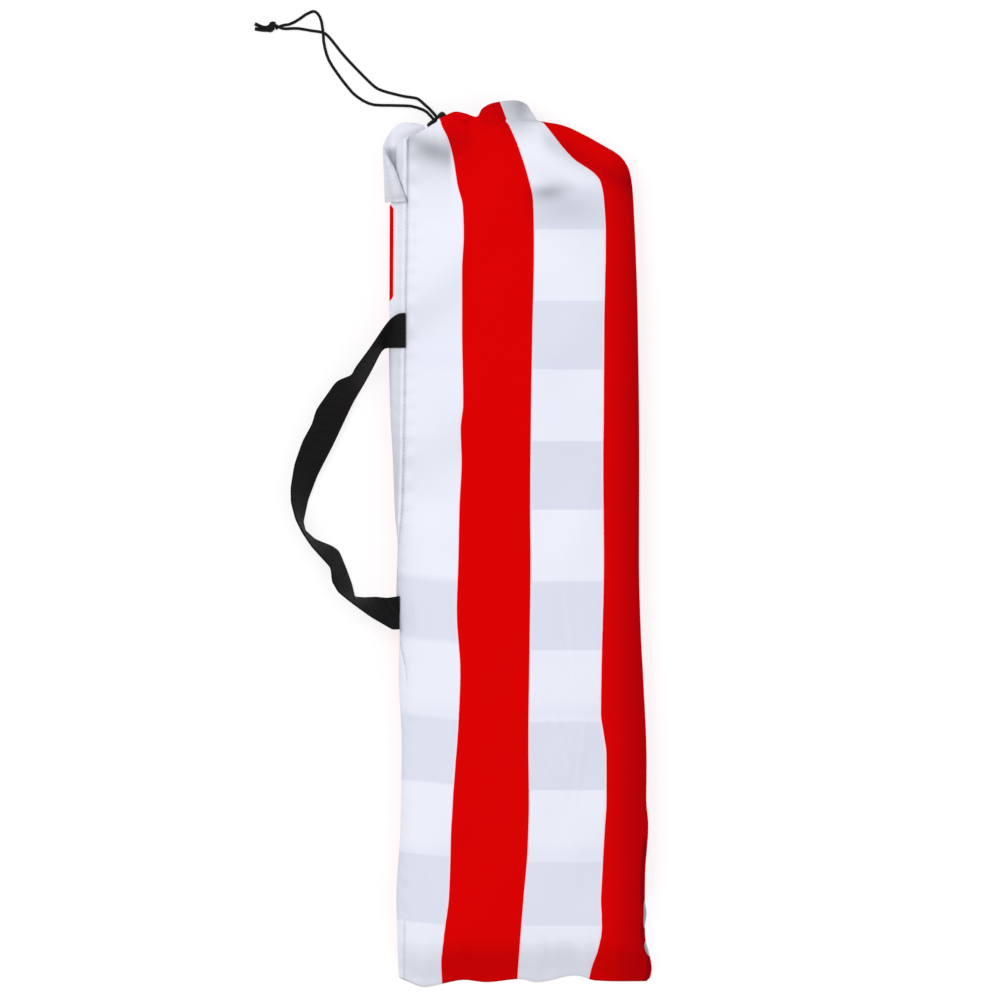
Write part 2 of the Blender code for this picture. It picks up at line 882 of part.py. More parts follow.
# The folded windsock and its bridle


def sock_slot():
    """The space in the folded sock that the pole row and the hoop rod lie in."""
    low = ROW_Z - TUBE_RADIUS - ROW_GAP - 0.0014
    high = ROW_Z + TUBE_RADIUS + ROW_GAP
    return low, high, ROW_RIGHT + ROW_GAP


def windsock_pack(look):
    inset = CLOTH_WALL + SOCK_GAP
    low_y = TUBE_Y + 0.010
    stations = [low_y + SOCK_LENGTH * k / 14 for k in range(15)]
    rings = [section_ring(y, inset) for y in stations]
    pack = lofted("windsock_pack", rings, look)
    low, high, right = sock_slot()
    left = 2 * BAG_LEFT
    bm = bmesh.new()
    bmesh.ops.create_cube(bm, size=1.0)
    bmesh.ops.scale(bm, verts=bm.verts, vec=(right - left, 2 * BAG_LENGTH, high - low))
    bmesh.ops.translate(bm, verts=bm.verts, vec=((left + right) / 2, 0, (low + high) / 2))
    cutter = object_of("sock_slot", finished_mesh("sock_slot", bm), look)
    cutter.hide_render = True
    cutter.display_type = "WIRE"
    cut(pack, cutter)
    return pack


def bridle(cord_look, metal):
    """The hanked bridle lines, their ring and the wire clip, under the pole row at the mouth."""
    low, _, _ = sock_slot()
    thick = low - CASING_IN - 2 * ROW_GAP
    z = CASING_IN + ROW_GAP + thick / 2
    top = TUBE_Y + 0.010 + SOCK_LENGTH
    start = Vector((0.004, top + 2 * GAP, z))
    length = 0.020
    half = 0.0085
    rings = []
    for k in range(7):
        along = k / 6
        swell = 0.62 + 0.38 * math.sin(math.pi * along)
        ring = []
        for i in range(16):
            angle = 2 * math.pi * i / 16
            ring.append(
                start + Vector((half * swell * power(math.cos(angle), 0.8),
                                length * along,
                                thick / 2 * power(math.sin(angle), 0.8) * swell))
            )
        rings.append(ring)
    lofted("bridle_hank", rings, cord_look)
    ring_centre = start + Vector((0, length + GAP + RING_RADIUS + RING_WIRE, 0))
    rings = []
    for i in range(20):
        angle = 2 * math.pi * i / 20
        out = Vector((math.cos(angle), math.sin(angle), 0))
        rings.append(
            [
                ring_centre + out * (RING_RADIUS + RING_WIRE * math.cos(turn))
                + Vector((0, 0, RING_WIRE * math.sin(turn)))
                for turn in (2 * math.pi * k / 8 for k in range(8))
            ]
        )
    lofted("bridle_ring", rings, metal, closed=True)
    clip = ring_centre + Vector((0.0195, -0.008, 0))
    wire = 0.0009
    bend = 0.0032
    reach = 0.010
    route = [clip + Vector((bend, -0.004, 0)), clip + Vector((bend, reach, 0))]
    for k in range(1, 8):
        turn = math.pi * k / 8
        route.append(clip + Vector((bend * math.cos(turn), reach + bend * math.sin(turn), 0)))
    route.append(clip + Vector((-bend, reach, 0)))
    route.append(clip + Vector((-bend, -0.006, 0)))
    cord_object("snap_hook", route, metal, radius=wire, spacing=0.0018)


def parent_to_root(root):
    for obj in list(bpy.context.scene.collection.objects):
        if obj is not root and obj.parent is None:
            obj.parent = root


def main():
    clear_scene()
    root = bpy.data.objects.new("kit_origin", None)
    bpy.context.scene.collection.objects.link(root)
    cloth = cloth_red_white()
    cord_look = black_cord()
    webbing = black_webbing()
    plastic = black_plastic()
    bright = aluminium()
    metal = steel()

    bag_shell(cloth)
    drawcord_casing(cloth)
    drawcord_loop(cord_look)
    strand("drawcord_strand_long", -1, LONG_ROUTE, cord_look)
    strand("drawcord_strand_short", 1, SHORT_ROUTE, cord_look)
    drawcord_knot(cord_look)
    cord_lock(plastic, metal)
    handle_strap(webbing)
    handle_end("handle_end_upper", HANDLE_WAY[0][1], webbing)
    handle_end("handle_end_lower", HANDLE_WAY[-1][1], webbing)
    for place in range(POLE_SECTIONS):
        pole_tube(place, bright)
        if place < POLE_SECTIONS - 1:
            ferrule(place, bright)
    swivel_head(POLE_SECTIONS - 1, plastic, metal)
    ground_spike(POLE_SECTIONS, metal, plastic)
    hoop(fibreglass(), plastic)
    windsock_pack(folded_cloth())
    bridle(cord_look, metal)
    parent_to_root(root)


main()
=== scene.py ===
"""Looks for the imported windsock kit: the sewn bag, its handle, cord and contents, in metres."""

import math

import bmesh
import bpy
import numpy as np
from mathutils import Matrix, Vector


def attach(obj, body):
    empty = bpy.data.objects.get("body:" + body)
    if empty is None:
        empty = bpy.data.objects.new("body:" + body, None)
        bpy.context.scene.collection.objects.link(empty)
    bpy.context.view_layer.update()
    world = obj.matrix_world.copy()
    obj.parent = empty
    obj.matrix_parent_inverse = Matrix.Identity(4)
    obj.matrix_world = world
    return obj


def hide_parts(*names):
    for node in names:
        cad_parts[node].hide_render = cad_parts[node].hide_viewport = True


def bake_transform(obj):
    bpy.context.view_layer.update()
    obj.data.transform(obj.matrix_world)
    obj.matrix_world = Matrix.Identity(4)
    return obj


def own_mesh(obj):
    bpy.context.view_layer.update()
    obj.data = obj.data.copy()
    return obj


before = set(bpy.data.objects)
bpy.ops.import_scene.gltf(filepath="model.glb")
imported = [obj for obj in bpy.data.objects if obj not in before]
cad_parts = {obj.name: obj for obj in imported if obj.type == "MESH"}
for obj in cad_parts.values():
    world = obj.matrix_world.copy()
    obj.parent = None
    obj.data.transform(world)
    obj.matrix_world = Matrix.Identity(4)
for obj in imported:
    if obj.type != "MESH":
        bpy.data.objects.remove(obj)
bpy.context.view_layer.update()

RED = (0.665, 0.0012, 0.0014)
WHITE = (0.785, 0.802, 0.868)
STRIPES_ROUND = 8
CLOTH = 0.0005
THREAD = 0.00055
SOCK_BAND = 0.050

FOOT = -0.3150
MOUTH = 0.3160
CORD_DIAMETER = 0.0022
WEBBING = 0.025

# ---------------------------------------------------------------- curves of the bag's outline


def curve(points):
    """A smooth function through (place, value) points that doesn't overshoot them."""
    xs = np.array([p[0] for p in points], float)
    ys = np.array([p[1] for p in points], float)
    order = np.argsort(xs)
    xs, ys = xs[order], ys[order]
    steps = np.diff(xs)
    slopes = np.diff(ys) / steps
    tangents = np.zeros(len(xs))
    tangents[0], tangents[-1] = slopes[0], slopes[-1]
    for i in range(1, len(xs) - 1):
        a, b = slopes[i - 1], slopes[i]
        if a * b > 0:
            wa = 2 * steps[i] + steps[i - 1]
            wb = steps[i] + 2 * steps[i - 1]
            tangents[i] = (wa + wb) / (wa / a + wb / b)

    def value(x):
        x = np.clip(np.asarray(x, float), xs[0], xs[-1])
        i = np.clip(np.searchsorted(xs, x) - 1, 0, len(xs) - 2)
        h = steps[i]
        t = (x - xs[i]) / h
        return (
            (2 * t ** 3 - 3 * t ** 2 + 1) * ys[i]
            + (t ** 3 - 2 * t ** 2 + t) * h * tangents[i]
            + (-2 * t ** 3 + 3 * t ** 2) * ys[i + 1]
            + (t ** 3 - t ** 2) * h * tangents[i + 1]
        )

    return value


MM = 0.001


def mm_curve(*points):
    return curve([(a * MM, b * MM) for a, b in points])


# Each is X at a distance Y along the bag, both in millimetres
LEFT_SIDE = mm_curve((-316, -50), (-306, -52.5), (-273, -53.4), (-253, -54), (-200, -51), (-142, -50.2),
                     (-90, -52.3), (-63, -51.6), (-37, -54), (0, -53), (23, -55), (60, -56.4), (99, -58.4),
                     (141, -59.2), (178, -59), (242, -58.8), (262, -59), (285, -60), (300, -60))
RIGHT_SIDE = mm_curve((-316, 118), (-309, 127.5), (-303, 128.6), (-290, 126.4), (-281, 124.0),
                      (-273, 123.6), (-263, 124.8), (-252, 123.6), (-235, 123.8), (-200, 126),
                      (-182, 124.6), (-155, 124.8), (-95, 122.4), (-63, 120.7), (-10, 119.4), (60, 119.6),
                      (155, 118.6), (240, 115.8), (261, 114.6), (272, 112.8), (279, 109), (288, 95),
                      (295, 82), (301, 67), (303.5, 50), (310, 46))
EDGE_1 = mm_curve((-316, -21.4), (-300, -22), (-280, -20.2), (-247, -16.2), (-207, -15), (-169, -12.8),
                  (-129, -9.8), (-90, -8.3), (-48, -10.8), (-10, -9.7), (29, -8.8), (60, -7.3), (83, -8),
                  (101, -6.2), (155, -7), (196, -7), (221, -5.8), (242, -6.5), (257, -10.2), (278, -13.6),
                  (290, -17), (303, -22.8), (310, -24))
EDGE_2 = mm_curve((-316, 32), (-286, 34), (-253, 36.6), (-214, 39.8), (-182, 40.6), (-142, 40.2), (-76, 41),
                  (-10, 41.8), (22, 41.5), (99, 42.1), (155, 43.1), (215, 44.2), (245, 43.6), (266, 39),
                  (285, 32.9), (300, 26.5), (317, 19.6))
EDGE_3 = mm_curve((-316, 82.5), (-300, 86), (-289, 90), (-272, 92.8), (-253, 92.2), (-234, 93),
                  (-200, 94.9), (-182, 96), (-149, 95.9), (-133, 93.8), (-120, 92), (-90, 92.4),
                  (-10, 94.2), (60, 93.7), (99, 94.1), (155, 94.4), (221, 95.6), (245, 94.4), (260, 91.6),
                  (265, 87.8), (275, 73.4), (283, 65.5), (292, 58.4), (303, 49.4), (306, 46))
# Y of the front panel's edge at the mouth, and of the foot, across X
MOUTH_EDGE = mm_curve((-64, 286), (-60, 288), (-52.5, 291.6), (-45, 295.8), (-38, 299.8), (-30, 303.2),
                      (-24, 305.6), (-19.5, 307.7), (-15, 308.7), (-8, 307.4), (-0.8, 305), (5.7, 311.5),
                      (13, 314.8), (20, 316), (29, 316.7), (38.9, 314.8), (43, 310), (46, 304), (52, 303))
FOOT_EDGE = mm_curve((-54, -305), (-50, -309.5), (-45.7, -311.8), (-34.3, -316), (-22, -313.8), (-6.4, -311),
                     (9.3, -312.6), (32, -310.3), (44, -312.6), (68, -307.8), (84, -311.4), (100, -312),
                     (119, -311.8), (126, -309.5), (130, -306))
SEAM = mm_curve((-316, -49), (-96, -47), (-59, -52.4), (0, -52.4), (30, -50), (90, -48.6), (140, -47.9),
                (246, -46.5), (300, -46))
HEIGHT = mm_curve((-316, 1.6), (-309, 11), (-300, 26), (-291, 37), (-283, 41.6), (-265, 43.8), (-230, 44.8),
                  (-150, 45.6), (0, 45.4), (120, 45.6), (220, 44), (262, 42.6), (290, 41.6), (316, 41.4))


def smooth(t):
    t = np.clip(t, 0.0, 1.0)
    return t * t * (3 - 2 * t)


def power(value, exponent):
    return np.sign(value) * np.abs(value) ** exponent


def bump(x, centre, width):
    return np.exp(-(((x - centre) / width) ** 2))


# ---------------------------------------------------------------- meshes and modifiers


def link(obj):
    bpy.context.scene.collection.objects.link(obj)
    return obj


def grid_mesh(name, points, wrap):
    """A mesh over rows of points, joined round each row if wrap. points is rows x columns x 3."""
    rows, columns = points.shape[:2]
    mesh = bpy.data.meshes.new(name)
    across = columns if wrap else columns - 1
    i = np.arange(rows - 1)[:, None] * columns
    j = np.arange(across)[None, :]
    k = (j + 1) % columns
    quads = np.stack([i + j, i + k, i + k + columns, i + j + columns], -1).reshape(-1, 4)
    mesh.from_pydata(points.reshape(-1, 3).tolist(), [], quads.tolist())
    mesh.shade_smooth()
    return mesh


def attribute(mesh, name, values):
    made = mesh.attributes.new(name, "FLOAT", "POINT")
    made.data.foreach_set("value", np.asarray(values, np.float32).ravel())


def applied(obj):
    """The object with its modifiers made part of its mesh."""
    graph = bpy.context.evaluated_depsgraph_get()
    mesh = bpy.data.meshes.new_from_object(obj.evaluated_get(graph), depsgraph=graph)
    old = obj.data
    obj.modifiers.clear()
    obj.data = mesh
    if old.users == 0:
        bpy.data.meshes.remove(old)
    return obj


def thicken(obj, thickness, offset=0.0):
    modifier = obj.modifiers.new("thickness", "SOLIDIFY")
    modifier.thickness = thickness
    modifier.offset = offset
    modifier.use_even_offset = False


# ---------------------------------------------------------------- materials


class Nodes:
    """Short ways to build a node material."""

    def __init__(self, name):
        self.material = bpy.data.materials.new(name)
        self.material.use_nodes = True
        self.tree = self.material.node_tree
        self.shader = self.tree.nodes["Principled BSDF"]

    def add(self, kind, **settings):
        node = self.tree.nodes.new(kind)
        for key, value in settings.items():
            setattr(node, key, value)
        return node

    def join(self, source, target):
        self.tree.links.new(source, target)

    def feed(self, socket, value):
        if isinstance(value, (int, float)):
            socket.default_value = value
        elif isinstance(value, tuple):
            socket.default_value = (*value, 1.0) if len(value) == 3 else value
        else:
            self.join(value, socket)

    def math(self, operation, a, b=0.0, c=0.0):
        node = self.add("ShaderNodeMath", operation=operation)
        for socket, value in zip(node.inputs, (a, b, c)):
            self.feed(socket, value)
        return node.outputs[0]

    def mix(self, factor, a, b):
        node = self.add("ShaderNodeMix", data_type="RGBA")
        self.feed(node.inputs["Factor"], factor)
        self.feed(node.inputs["A"], a)
        self.feed(node.inputs["B"], b)
        return node.outputs["Result"]

    def attribute(self, name):
        return self.add("ShaderNodeAttribute", attribute_name=name).outputs["Fac"]

    def place(self):
        return self.add("ShaderNodeTexCoord").outputs["Object"]

    def scaled(self, scale):
        node = self.add("ShaderNodeMapping")
        self.join(self.place(), node.inputs["Vector"])
        node.inputs["Scale"].default_value = scale
        return node.outputs["Vector"]

    def noise(self, scale, detail=3.0, vector=None, roughness=0.5):
        node = self.add("ShaderNodeTexNoise")
        self.join(vector or self.place(), node.inputs["Vector"])
        node.inputs["Scale"].default_value = scale
        node.inputs["Detail"].default_value = detail
        node.inputs["Roughness"].default_value = roughness
        return node.outputs["Fac"]

    def between(self, value, low, high, to_low=0.0, to_high=1.0):
        node = self.add("ShaderNodeMapRange")
        node.inputs["From Min"].default_value = low
        node.inputs["From Max"].default_value = high
        node.inputs["To Min"].default_value = to_low
        node.inputs["To Max"].default_value = to_high
        self.join(value, node.inputs["Value"])
        return node.outputs["Result"]

    def bump(self, height, strength, distance):
        node = self.add("ShaderNodeBump")
        node.inputs["Strength"].default_value = strength
        node.inputs["Distance"].default_value = distance
        self.join(height, node.inputs["Height"])
        self.join(node.outputs["Normal"], self.shader.inputs["Normal"])

    def finish(self, colour=None, roughness=None, **sockets):
        if colour is not None:
            self.feed(self.shader.inputs["Base Color"], colour)
        if roughness is not None:
            self.feed(self.shader.inputs["Roughness"], roughness)
        for name, value in sockets.items():
            self.feed(self.shader.inputs[name.replace("_", " ")], value)
        return self.material


def weave_height(n, pitch):
    """Plain weave of the given thread pitch, over the object's own X and Y."""
    turns = 2 * math.pi / pitch
    axes = n.add("ShaderNodeSeparateXYZ")
    n.join(n.place(), axes.inputs[0])
    warp = n.math("SINE", n.math("MULTIPLY", axes.outputs["X"], turns))
    weft = n.math("SINE", n.math("MULTIPLY", axes.outputs["Y"], turns))
    return n.math("MULTIPLY", warp, weft)


def stripe_cloth(name, stripe_attribute, show_through):
    """Satin polyester with printed red and white stripes, a pale line at each stripe's edge and painted
    shade.
    """
    n = Nodes(name)
    stripe = n.attribute(stripe_attribute)
    phase = n.math("FRACT", n.math("MULTIPLY", stripe, 0.5))
    to_edge = n.math("ABSOLUTE", n.math("SUBTRACT", phase, 0.5))
    at_ends = n.math("MINIMUM", phase, n.math("SUBTRACT", 1.0, phase))
    nearest = n.math("MINIMUM", to_edge, at_ends)
    is_red = n.between(phase, 0.4985, 0.5015)
    near_end = n.between(phase, 0.0, 0.0015, 1.0, 0.0)
    is_red = n.math("MAXIMUM", is_red, near_end)
    is_red.node.use_clamp = True
    line = n.between(nearest, 0.008, 0.0135, 1.0, 0.0)
    broad = n.noise(9.0, 2.0)
    fine = n.noise(900.0, 2.0)
    white = n.mix(n.between(broad, 0.3, 0.7), WHITE, (0.755, 0.772, 0.845))
    if show_through:
        phase_in = n.math("FRACT", n.attribute("sock_phase"))
        soft = n.attribute("sock_soft")
        rising = n.math("DIVIDE", phase_in, n.math("ADD", soft, 0.004))
        falling = n.math("DIVIDE", n.math("SUBTRACT", 0.5, phase_in), n.math("ADD", soft, 0.004))
        grey = n.math("MINIMUM", rising, falling)
        grey.node.use_clamp = True
        deep = n.math("MULTIPLY", grey, n.attribute("sock_depth"))
        white = n.mix(deep, white, (0.560, 0.575, 0.680))
        second = n.math("MULTIPLY", n.attribute("sock_fold"), 0.35)
        white = n.mix(second, white, (0.640, 0.655, 0.760))
    white = n.mix(n.math("MULTIPLY", line, 0.9), white, (0.92, 0.64, 0.71))
    red = n.mix(n.between(fine, 0.35, 0.65), RED, (0.640, 0.0011, 0.0013))
    colour = n.mix(is_red, white, red)
    # painted shade from the shade attribute: darker in folds, creases, the seam's groove and where the side
    # turns away from the light
    colour = n.mix(n.attribute("shade"), colour, (0.004, 0.0, 0.006))
    height = n.math("ADD", n.math("MULTIPLY", weave_height(n, THREAD), 0.35), n.noise(220.0, 3.0))
    n.bump(height, 0.16, 0.0003)
    return n.finish(colour, n.between(fine, 0.2, 0.8, 0.60, 0.72), Specular_IOR_Level=0.0)


def plain_white_cloth(name):
    n = Nodes(name)
    colour = n.mix(n.between(n.noise(14.0, 3.0), 0.3, 0.7), WHITE, (0.70, 0.72, 0.82))
    height = n.math("ADD", n.math("MULTIPLY", weave_height(n, THREAD), 0.35), n.noise(260.0, 3.0))
    n.bump(height, 0.2, 0.0003)
    return n.finish(colour, 0.6, Specular_IOR_Level=0.15)


def webbing_material():
    """Black webbing: rows of ribs across its length, broken into a herringbone by its threads."""
    n = Nodes("webbing")
    along = n.attribute("along")
    across = n.attribute("across")
    rib = n.math("SINE", n.math("MULTIPLY", along, 2 * math.pi / 0.0018))
    thread = n.math("SINE", n.math("MULTIPLY", across, 2 * math.pi / 0.0021))
    slant = n.math("SINE", n.math("MULTIPLY", n.math("ADD", along, across), 2 * math.pi / 0.0024))
    height = n.math("ADD", n.math("MULTIPLY", rib, thread), n.math("MULTIPLY", slant, 0.6))
    fuzz = n.noise(700.0, 2.0)
    # painted shade and highlight: darker in the weave's grooves, lighter on its raised ribs
    colour = n.mix(n.between(height, -1.2, 1.4), (0.0014, 0.0014, 0.0016), (0.0125, 0.0125, 0.0138))
    colour = n.mix(n.between(fuzz, 0.45, 0.9, 0.0, 0.3), colour, (0.014, 0.014, 0.015))
    n.bump(n.math("ADD", height, n.math("MULTIPLY", fuzz, 0.8)), 0.7, 0.0004)
    return n.finish(colour, n.between(fuzz, 0.2, 0.8, 0.62, 0.8), Specular_IOR_Level=0.10)


def cord_material():
    """Black braided cord: two sets of slanting yarns."""
    n = Nodes("cord")
    wave = n.add("ShaderNodeTexWave", wave_type="BANDS", bands_direction="DIAGONAL")
    n.join(n.place(), wave.inputs["Vector"])
    wave.inputs["Scale"].default_value = 420.0
    wave.inputs["Distortion"].default_value = 2.0
    fuzz = n.noise(1500.0, 2.0)
    height = n.math("ADD", wave.outputs["Fac"], n.math("MULTIPLY", fuzz, 0.5))
    # painted shade and highlight: darker between the braid's yarns, lighter on their crests
    colour = n.mix(n.between(height, 0.3, 1.2), (0.0015, 0.0015, 0.0017), (0.009, 0.009, 0.010))
    n.bump(height, 0.6, 0.0003)
    return n.finish(colour, 0.6, Specular_IOR_Level=0.12)


def plastic_material():
    n = Nodes("black plastic")
    grain = n.noise(1400.0, 3.0)
    wear = n.noise(90.0, 4.0)
    n.bump(grain, 0.12, 0.0001)
    colour = n.mix(n.between(wear, 0.55, 0.8), (0.004, 0.004, 0.0045), (0.012, 0.012, 0.013))
    return n.finish(colour, n.between(wear, 0.2, 0.8, 0.4, 0.55), Specular_IOR_Level=0.12)


def metal_material(name, colour, darker, roughness, brush):
    """Drawn or plated metal with fine lines along its length and small rubbed marks."""
    n = Nodes(name)
    lines = n.noise(60.0, 4.0, n.scaled(brush))
    marks = n.noise(120.0, 5.0)
    tint = n.mix(n.between(marks, 0.5, 0.75), colour, darker)
    n.bump(lines, 0.12, 0.0001)
    return n.finish(tint, n.between(lines, 0.3, 0.7, roughness - 0.06, roughness + 0.08),
                    Metallic=1.0)


def glass_fibre_material():
    n = Nodes("glass fibre")
    strands = n.noise(40.0, 4.0, n.scaled((90.0, 1.5, 90.0)))
    colour = n.mix(n.between(strands, 0.3, 0.7), (0.72, 0.70, 0.60), (0.84, 0.83, 0.76))
    n.bump(strands, 0.08, 0.0001)
    return n.finish(colour, 0.32)


def floor_material():
    n = Nodes("floor")
    tone = n.between(n.noise(1.2, 2.0), 0.3, 0.7)
    return n.finish(n.mix(tone, (0.29, 0.29, 0.295), (0.31, 0.31, 0.315)), 0.9,
                    Emission_Color=(1.0, 1.0, 1.0), Emission_Strength=0.72, Specular_IOR_Level=0.1)


# ---------------------------------------------------------------- camera, light and floor

VIEW_WIDTH = 0.7150
VIEW_CENTRE = (0.0204, 0.0321)
CAMERA_HEIGHT = 11.0
SENSOR = 36.0


def camera_and_light():
    data = bpy.data.cameras.new("camera")
    data.sensor_width = SENSOR
    data.lens = SENSOR * CAMERA_HEIGHT / VIEW_WIDTH
    data.clip_end = 50.0
    camera = link(bpy.data.objects.new("camera", data))
    camera.location = (*VIEW_CENTRE, CAMERA_HEIGHT + 0.02)
    bpy.context.scene.camera = camera
    bpy.context.scene.view_settings.view_transform = "Standard"

    for name, place, size, energy in (
        ("key", (-1.1, 0.9, 2.6), 1.6, 31.0),
        ("fill", (1.5, -0.4, 2.2), 2.0, 7.5),
        ("top", (0.0, 0.0, 3.2), 2.4, 15.0),
    ):
        lamp = bpy.data.lights.new(name, "AREA")
        lamp.shape = "DISK"
        lamp.size = size
        lamp.energy = energy
        obj = link(bpy.data.objects.new(name, lamp))
        obj.location = place
        obj.rotation_euler = (-Vector(place)).to_track_quat("-Z", "Y").to_euler()
    world = bpy.data.worlds.new("studio")
    world.use_nodes = True
    world.node_tree.nodes["Background"].inputs["Color"].default_value = (0.95, 0.96, 1.0, 1)
    world.node_tree.nodes["Background"].inputs["Strength"].default_value = 0.62
    bpy.context.scene.world = world

    mesh = bpy.data.meshes.new("floor")
    side = 40.0
    mesh.from_pydata([(-side, -side, 0), (side, -side, 0), (side, side, 0), (-side, side, 0)], [],
                     [(0, 1, 2, 3)])
    floor = link(bpy.data.objects.new("floor", mesh))
    floor.location.z = -0.0002
    mesh.materials.append(floor_material())


# ---------------------------------------------------------------- the free cord

LOCK_HEIGHT = 0.0059
LOCK_CENTRE = Vector((-0.0233, 0.3020, LOCK_HEIGHT))
CORD_WAY = Vector((-0.66, 0.75, 0.0)).normalized()
LOCK_AXIS = Vector((0.75, 0.66, 0.0)).normalized()
CORD_SPREAD = 0.00145
FLOOR = 0.00125
LONG_ROUTE = (
    (-0.0364, 0.3121, 0.0050), (-0.0436, 0.3142, 0.0034), (-0.0512, 0.3146, 0.0020),
    (-0.0593, 0.3148, FLOOR), (-0.0721, 0.3156, FLOOR), (-0.0829, 0.3215, FLOOR),
    (-0.0900, 0.3292, FLOOR), (-0.0971, 0.3387, FLOOR), (-0.1029, 0.3482, 0.0017),
    (-0.1059, 0.3589, 0.0032), (-0.1065, 0.3671, 0.0043), (-0.1083, 0.3768, 0.0030),
    (-0.1124, 0.3819, 0.0016), (-0.1184, 0.3801, FLOOR), (-0.1253, 0.3753, FLOOR),
    (-0.1310, 0.3727, FLOOR),
)
SHORT_ROUTE = (
    (-0.0343, 0.3156, 0.0050), (-0.0392, 0.3196, 0.0036), (-0.0473, 0.3210, 0.0021),
    (-0.0560, 0.3230, FLOOR), (-0.0650, 0.3256, FLOOR), (-0.0709, 0.3292, FLOOR),
    (-0.0829, 0.3411, FLOOR), (-0.0923, 0.3512, FLOOR), (-0.1017, 0.3630, FLOOR),
    (-0.1065, 0.3668, FLOOR), (-0.1148, 0.3682, FLOOR), (-0.1243, 0.3698, FLOOR),
    (-0.1310, 0.3697, FLOOR),
)
KNOT = Vector((-0.1436, 0.3709, 0.0034))
KNOT_REACH = 0.0030
CORD_TOUCH = 0.00115
EXIT_REACH = 0.0100
STRAIGHT_REACH = 0.0110
BEND_WEIGHT = 0.012


def catmull(points, per_span):
    rows = [tuple(p) for p in points]
    ends = [rows[0]] + rows + [rows[-1]]
    found = []
    for i in range(len(rows) - 1):
        a, b, c, d = ends[i:i + 4]
        for k in range(per_span):
            t = k / per_span
            found.append(tuple(
                0.5 * (2 * q + (r - p) * t + (2 * p - 5 * q + 4 * r - s) * t * t
                       + (3 * q - p - 3 * r + s) * t ** 3)
                for p, q, r, s in zip(a, b, c, d)))
    found.append(rows[-1])
    return found


def at_reaches(path, reach, count):
    """Points of a path at equal steps of reach, a length or weight that grows along it."""
    wanted = np.linspace(0, reach[-1], count)
    return np.stack([np.interp(wanted, reach, path[:, k]) for k in range(path.shape[1])], 1)


def evenly(points, count):
    path = np.array([tuple(p) for p in points])
    reach = np.concatenate([[0], np.cumsum(np.linalg.norm(np.diff(path, axis=0), axis=1))])
    return at_reaches(path, reach, count)


def closer_at_bends(points, count):
    """Points along a path, packed closer where it bends."""
    path = np.array([tuple(p) for p in points])
    steps = np.diff(path, axis=0)
    lengths = np.linalg.norm(steps, axis=1)
    ways = steps / lengths[:, None]
    turns = np.arccos(np.clip((ways[1:] * ways[:-1]).sum(1), -1, 1))
    turns = np.concatenate([turns[:1], turns])
    reach = np.concatenate([[0], np.cumsum(lengths + BEND_WEIGHT * turns)])
    return at_reaches(path, reach, count)


def curve_object(name, routes, radius, look, cyclic=False, resolution=4):
    data = bpy.data.curves.new(name, "CURVE")
    data.dimensions = "3D"
    data.bevel_depth = radius
    data.bevel_resolution = resolution
    data.use_fill_caps = True
    for route in routes:
        spline = data.splines.new("POLY")
        spline.points.add(len(route) - 1)
        spline.use_cyclic_u = cyclic
        for made, p in zip(spline.points, route):
            made.co = (*p, 1.0)
        spline.use_smooth = True
    data.materials.append(look)
    return link(bpy.data.objects.new(name, data))


def strand(name, node, side, route, look):
    middle = LOCK_CENTRE + side * CORD_SPREAD * LOCK_AXIS
    start = middle - EXIT_REACH * CORD_WAY
    start.z = LOCK_HEIGHT - 0.0012
    enter = Vector((KNOT.x + KNOT_REACH, KNOT.y + side * CORD_TOUCH, FLOOR + 0.0006))
    before = enter + Vector((0.0052, -2 * side * CORD_TOUCH, -0.0003 + 0.0006 * side))
    points = catmull([start, middle, middle + STRAIGHT_REACH * CORD_WAY, *route, before, enter], 12)
    smoothed = closer_at_bends(points, 40)
    obj = curve_object(name, [smoothed], CORD_DIAMETER / 2, look)
    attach(obj, "bag")
    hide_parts(node)
    return obj


def knot(look):
    """An overhand knot pulled tight in the doubled cord: slanting wraps and the two cut tails."""
    routes = []
    # Each wrap's shift along the cord, its slant and its half width
    for shift, tilt, wide in ((-0.0012, 0.42, 0.0026), (0.0012, 0.34, 0.0026), (0.0001, 0.38, 0.0029)):
        ring = []
        for k in range(36):
            angle = 2 * math.pi * k / 36
            ring.append((
                KNOT.x + shift + 0.0030 * tilt * math.cos(angle),
                KNOT.y + wide * math.cos(angle),
                KNOT.z - 0.0003 + 0.0016 * math.sin(angle),
            ))
        routes.append(ring)
    wraps = curve_object("knot_wraps", routes, 0.00122, look, cyclic=True)
    tails = []
    for side in (-1, 1):
        tails.append(catmull([
            (KNOT.x + KNOT_REACH - 0.0006, KNOT.y + side * 0.0011, FLOOR + 0.0008),
            (KNOT.x, KNOT.y + side * 0.0011, FLOOR + 0.0010),
            (KNOT.x - 0.0035, KNOT.y - 0.0013 + side * 0.0009, FLOOR + 0.0006),
            (KNOT.x - 0.0070, KNOT.y - 0.0010 + side * 0.0011, FLOOR + 0.0002),
            (KNOT.x - 0.0118, KNOT.y + 0.0005 + side * 0.0018, FLOOR + 0.0003),
        ], 6))
    ends = curve_object("knot_tails", tails, 0.00135, look)
    for piece in (wraps, ends):
        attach(piece, "bag")
    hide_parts("drawcord_knot")
    return [wraps, ends]


# ---------------------------------------------------------------- the bag

COLUMNS = 300
ROWS = 330
HEM_ROWS = 16
HEM_TURN = 5
CORNER = 2.5
SINK = 0.004
BACK_RIM = 0.2880
LINING = 0.0030
UNDERSIDE = 0.0004
SHOULDER = 0.205
FOOT_TURN = -0.262
HANDLE_ROOTS = (0.1535, -0.048)
HANDLE_COVERS = ((0.138, 0.170), (-0.064, -0.032))


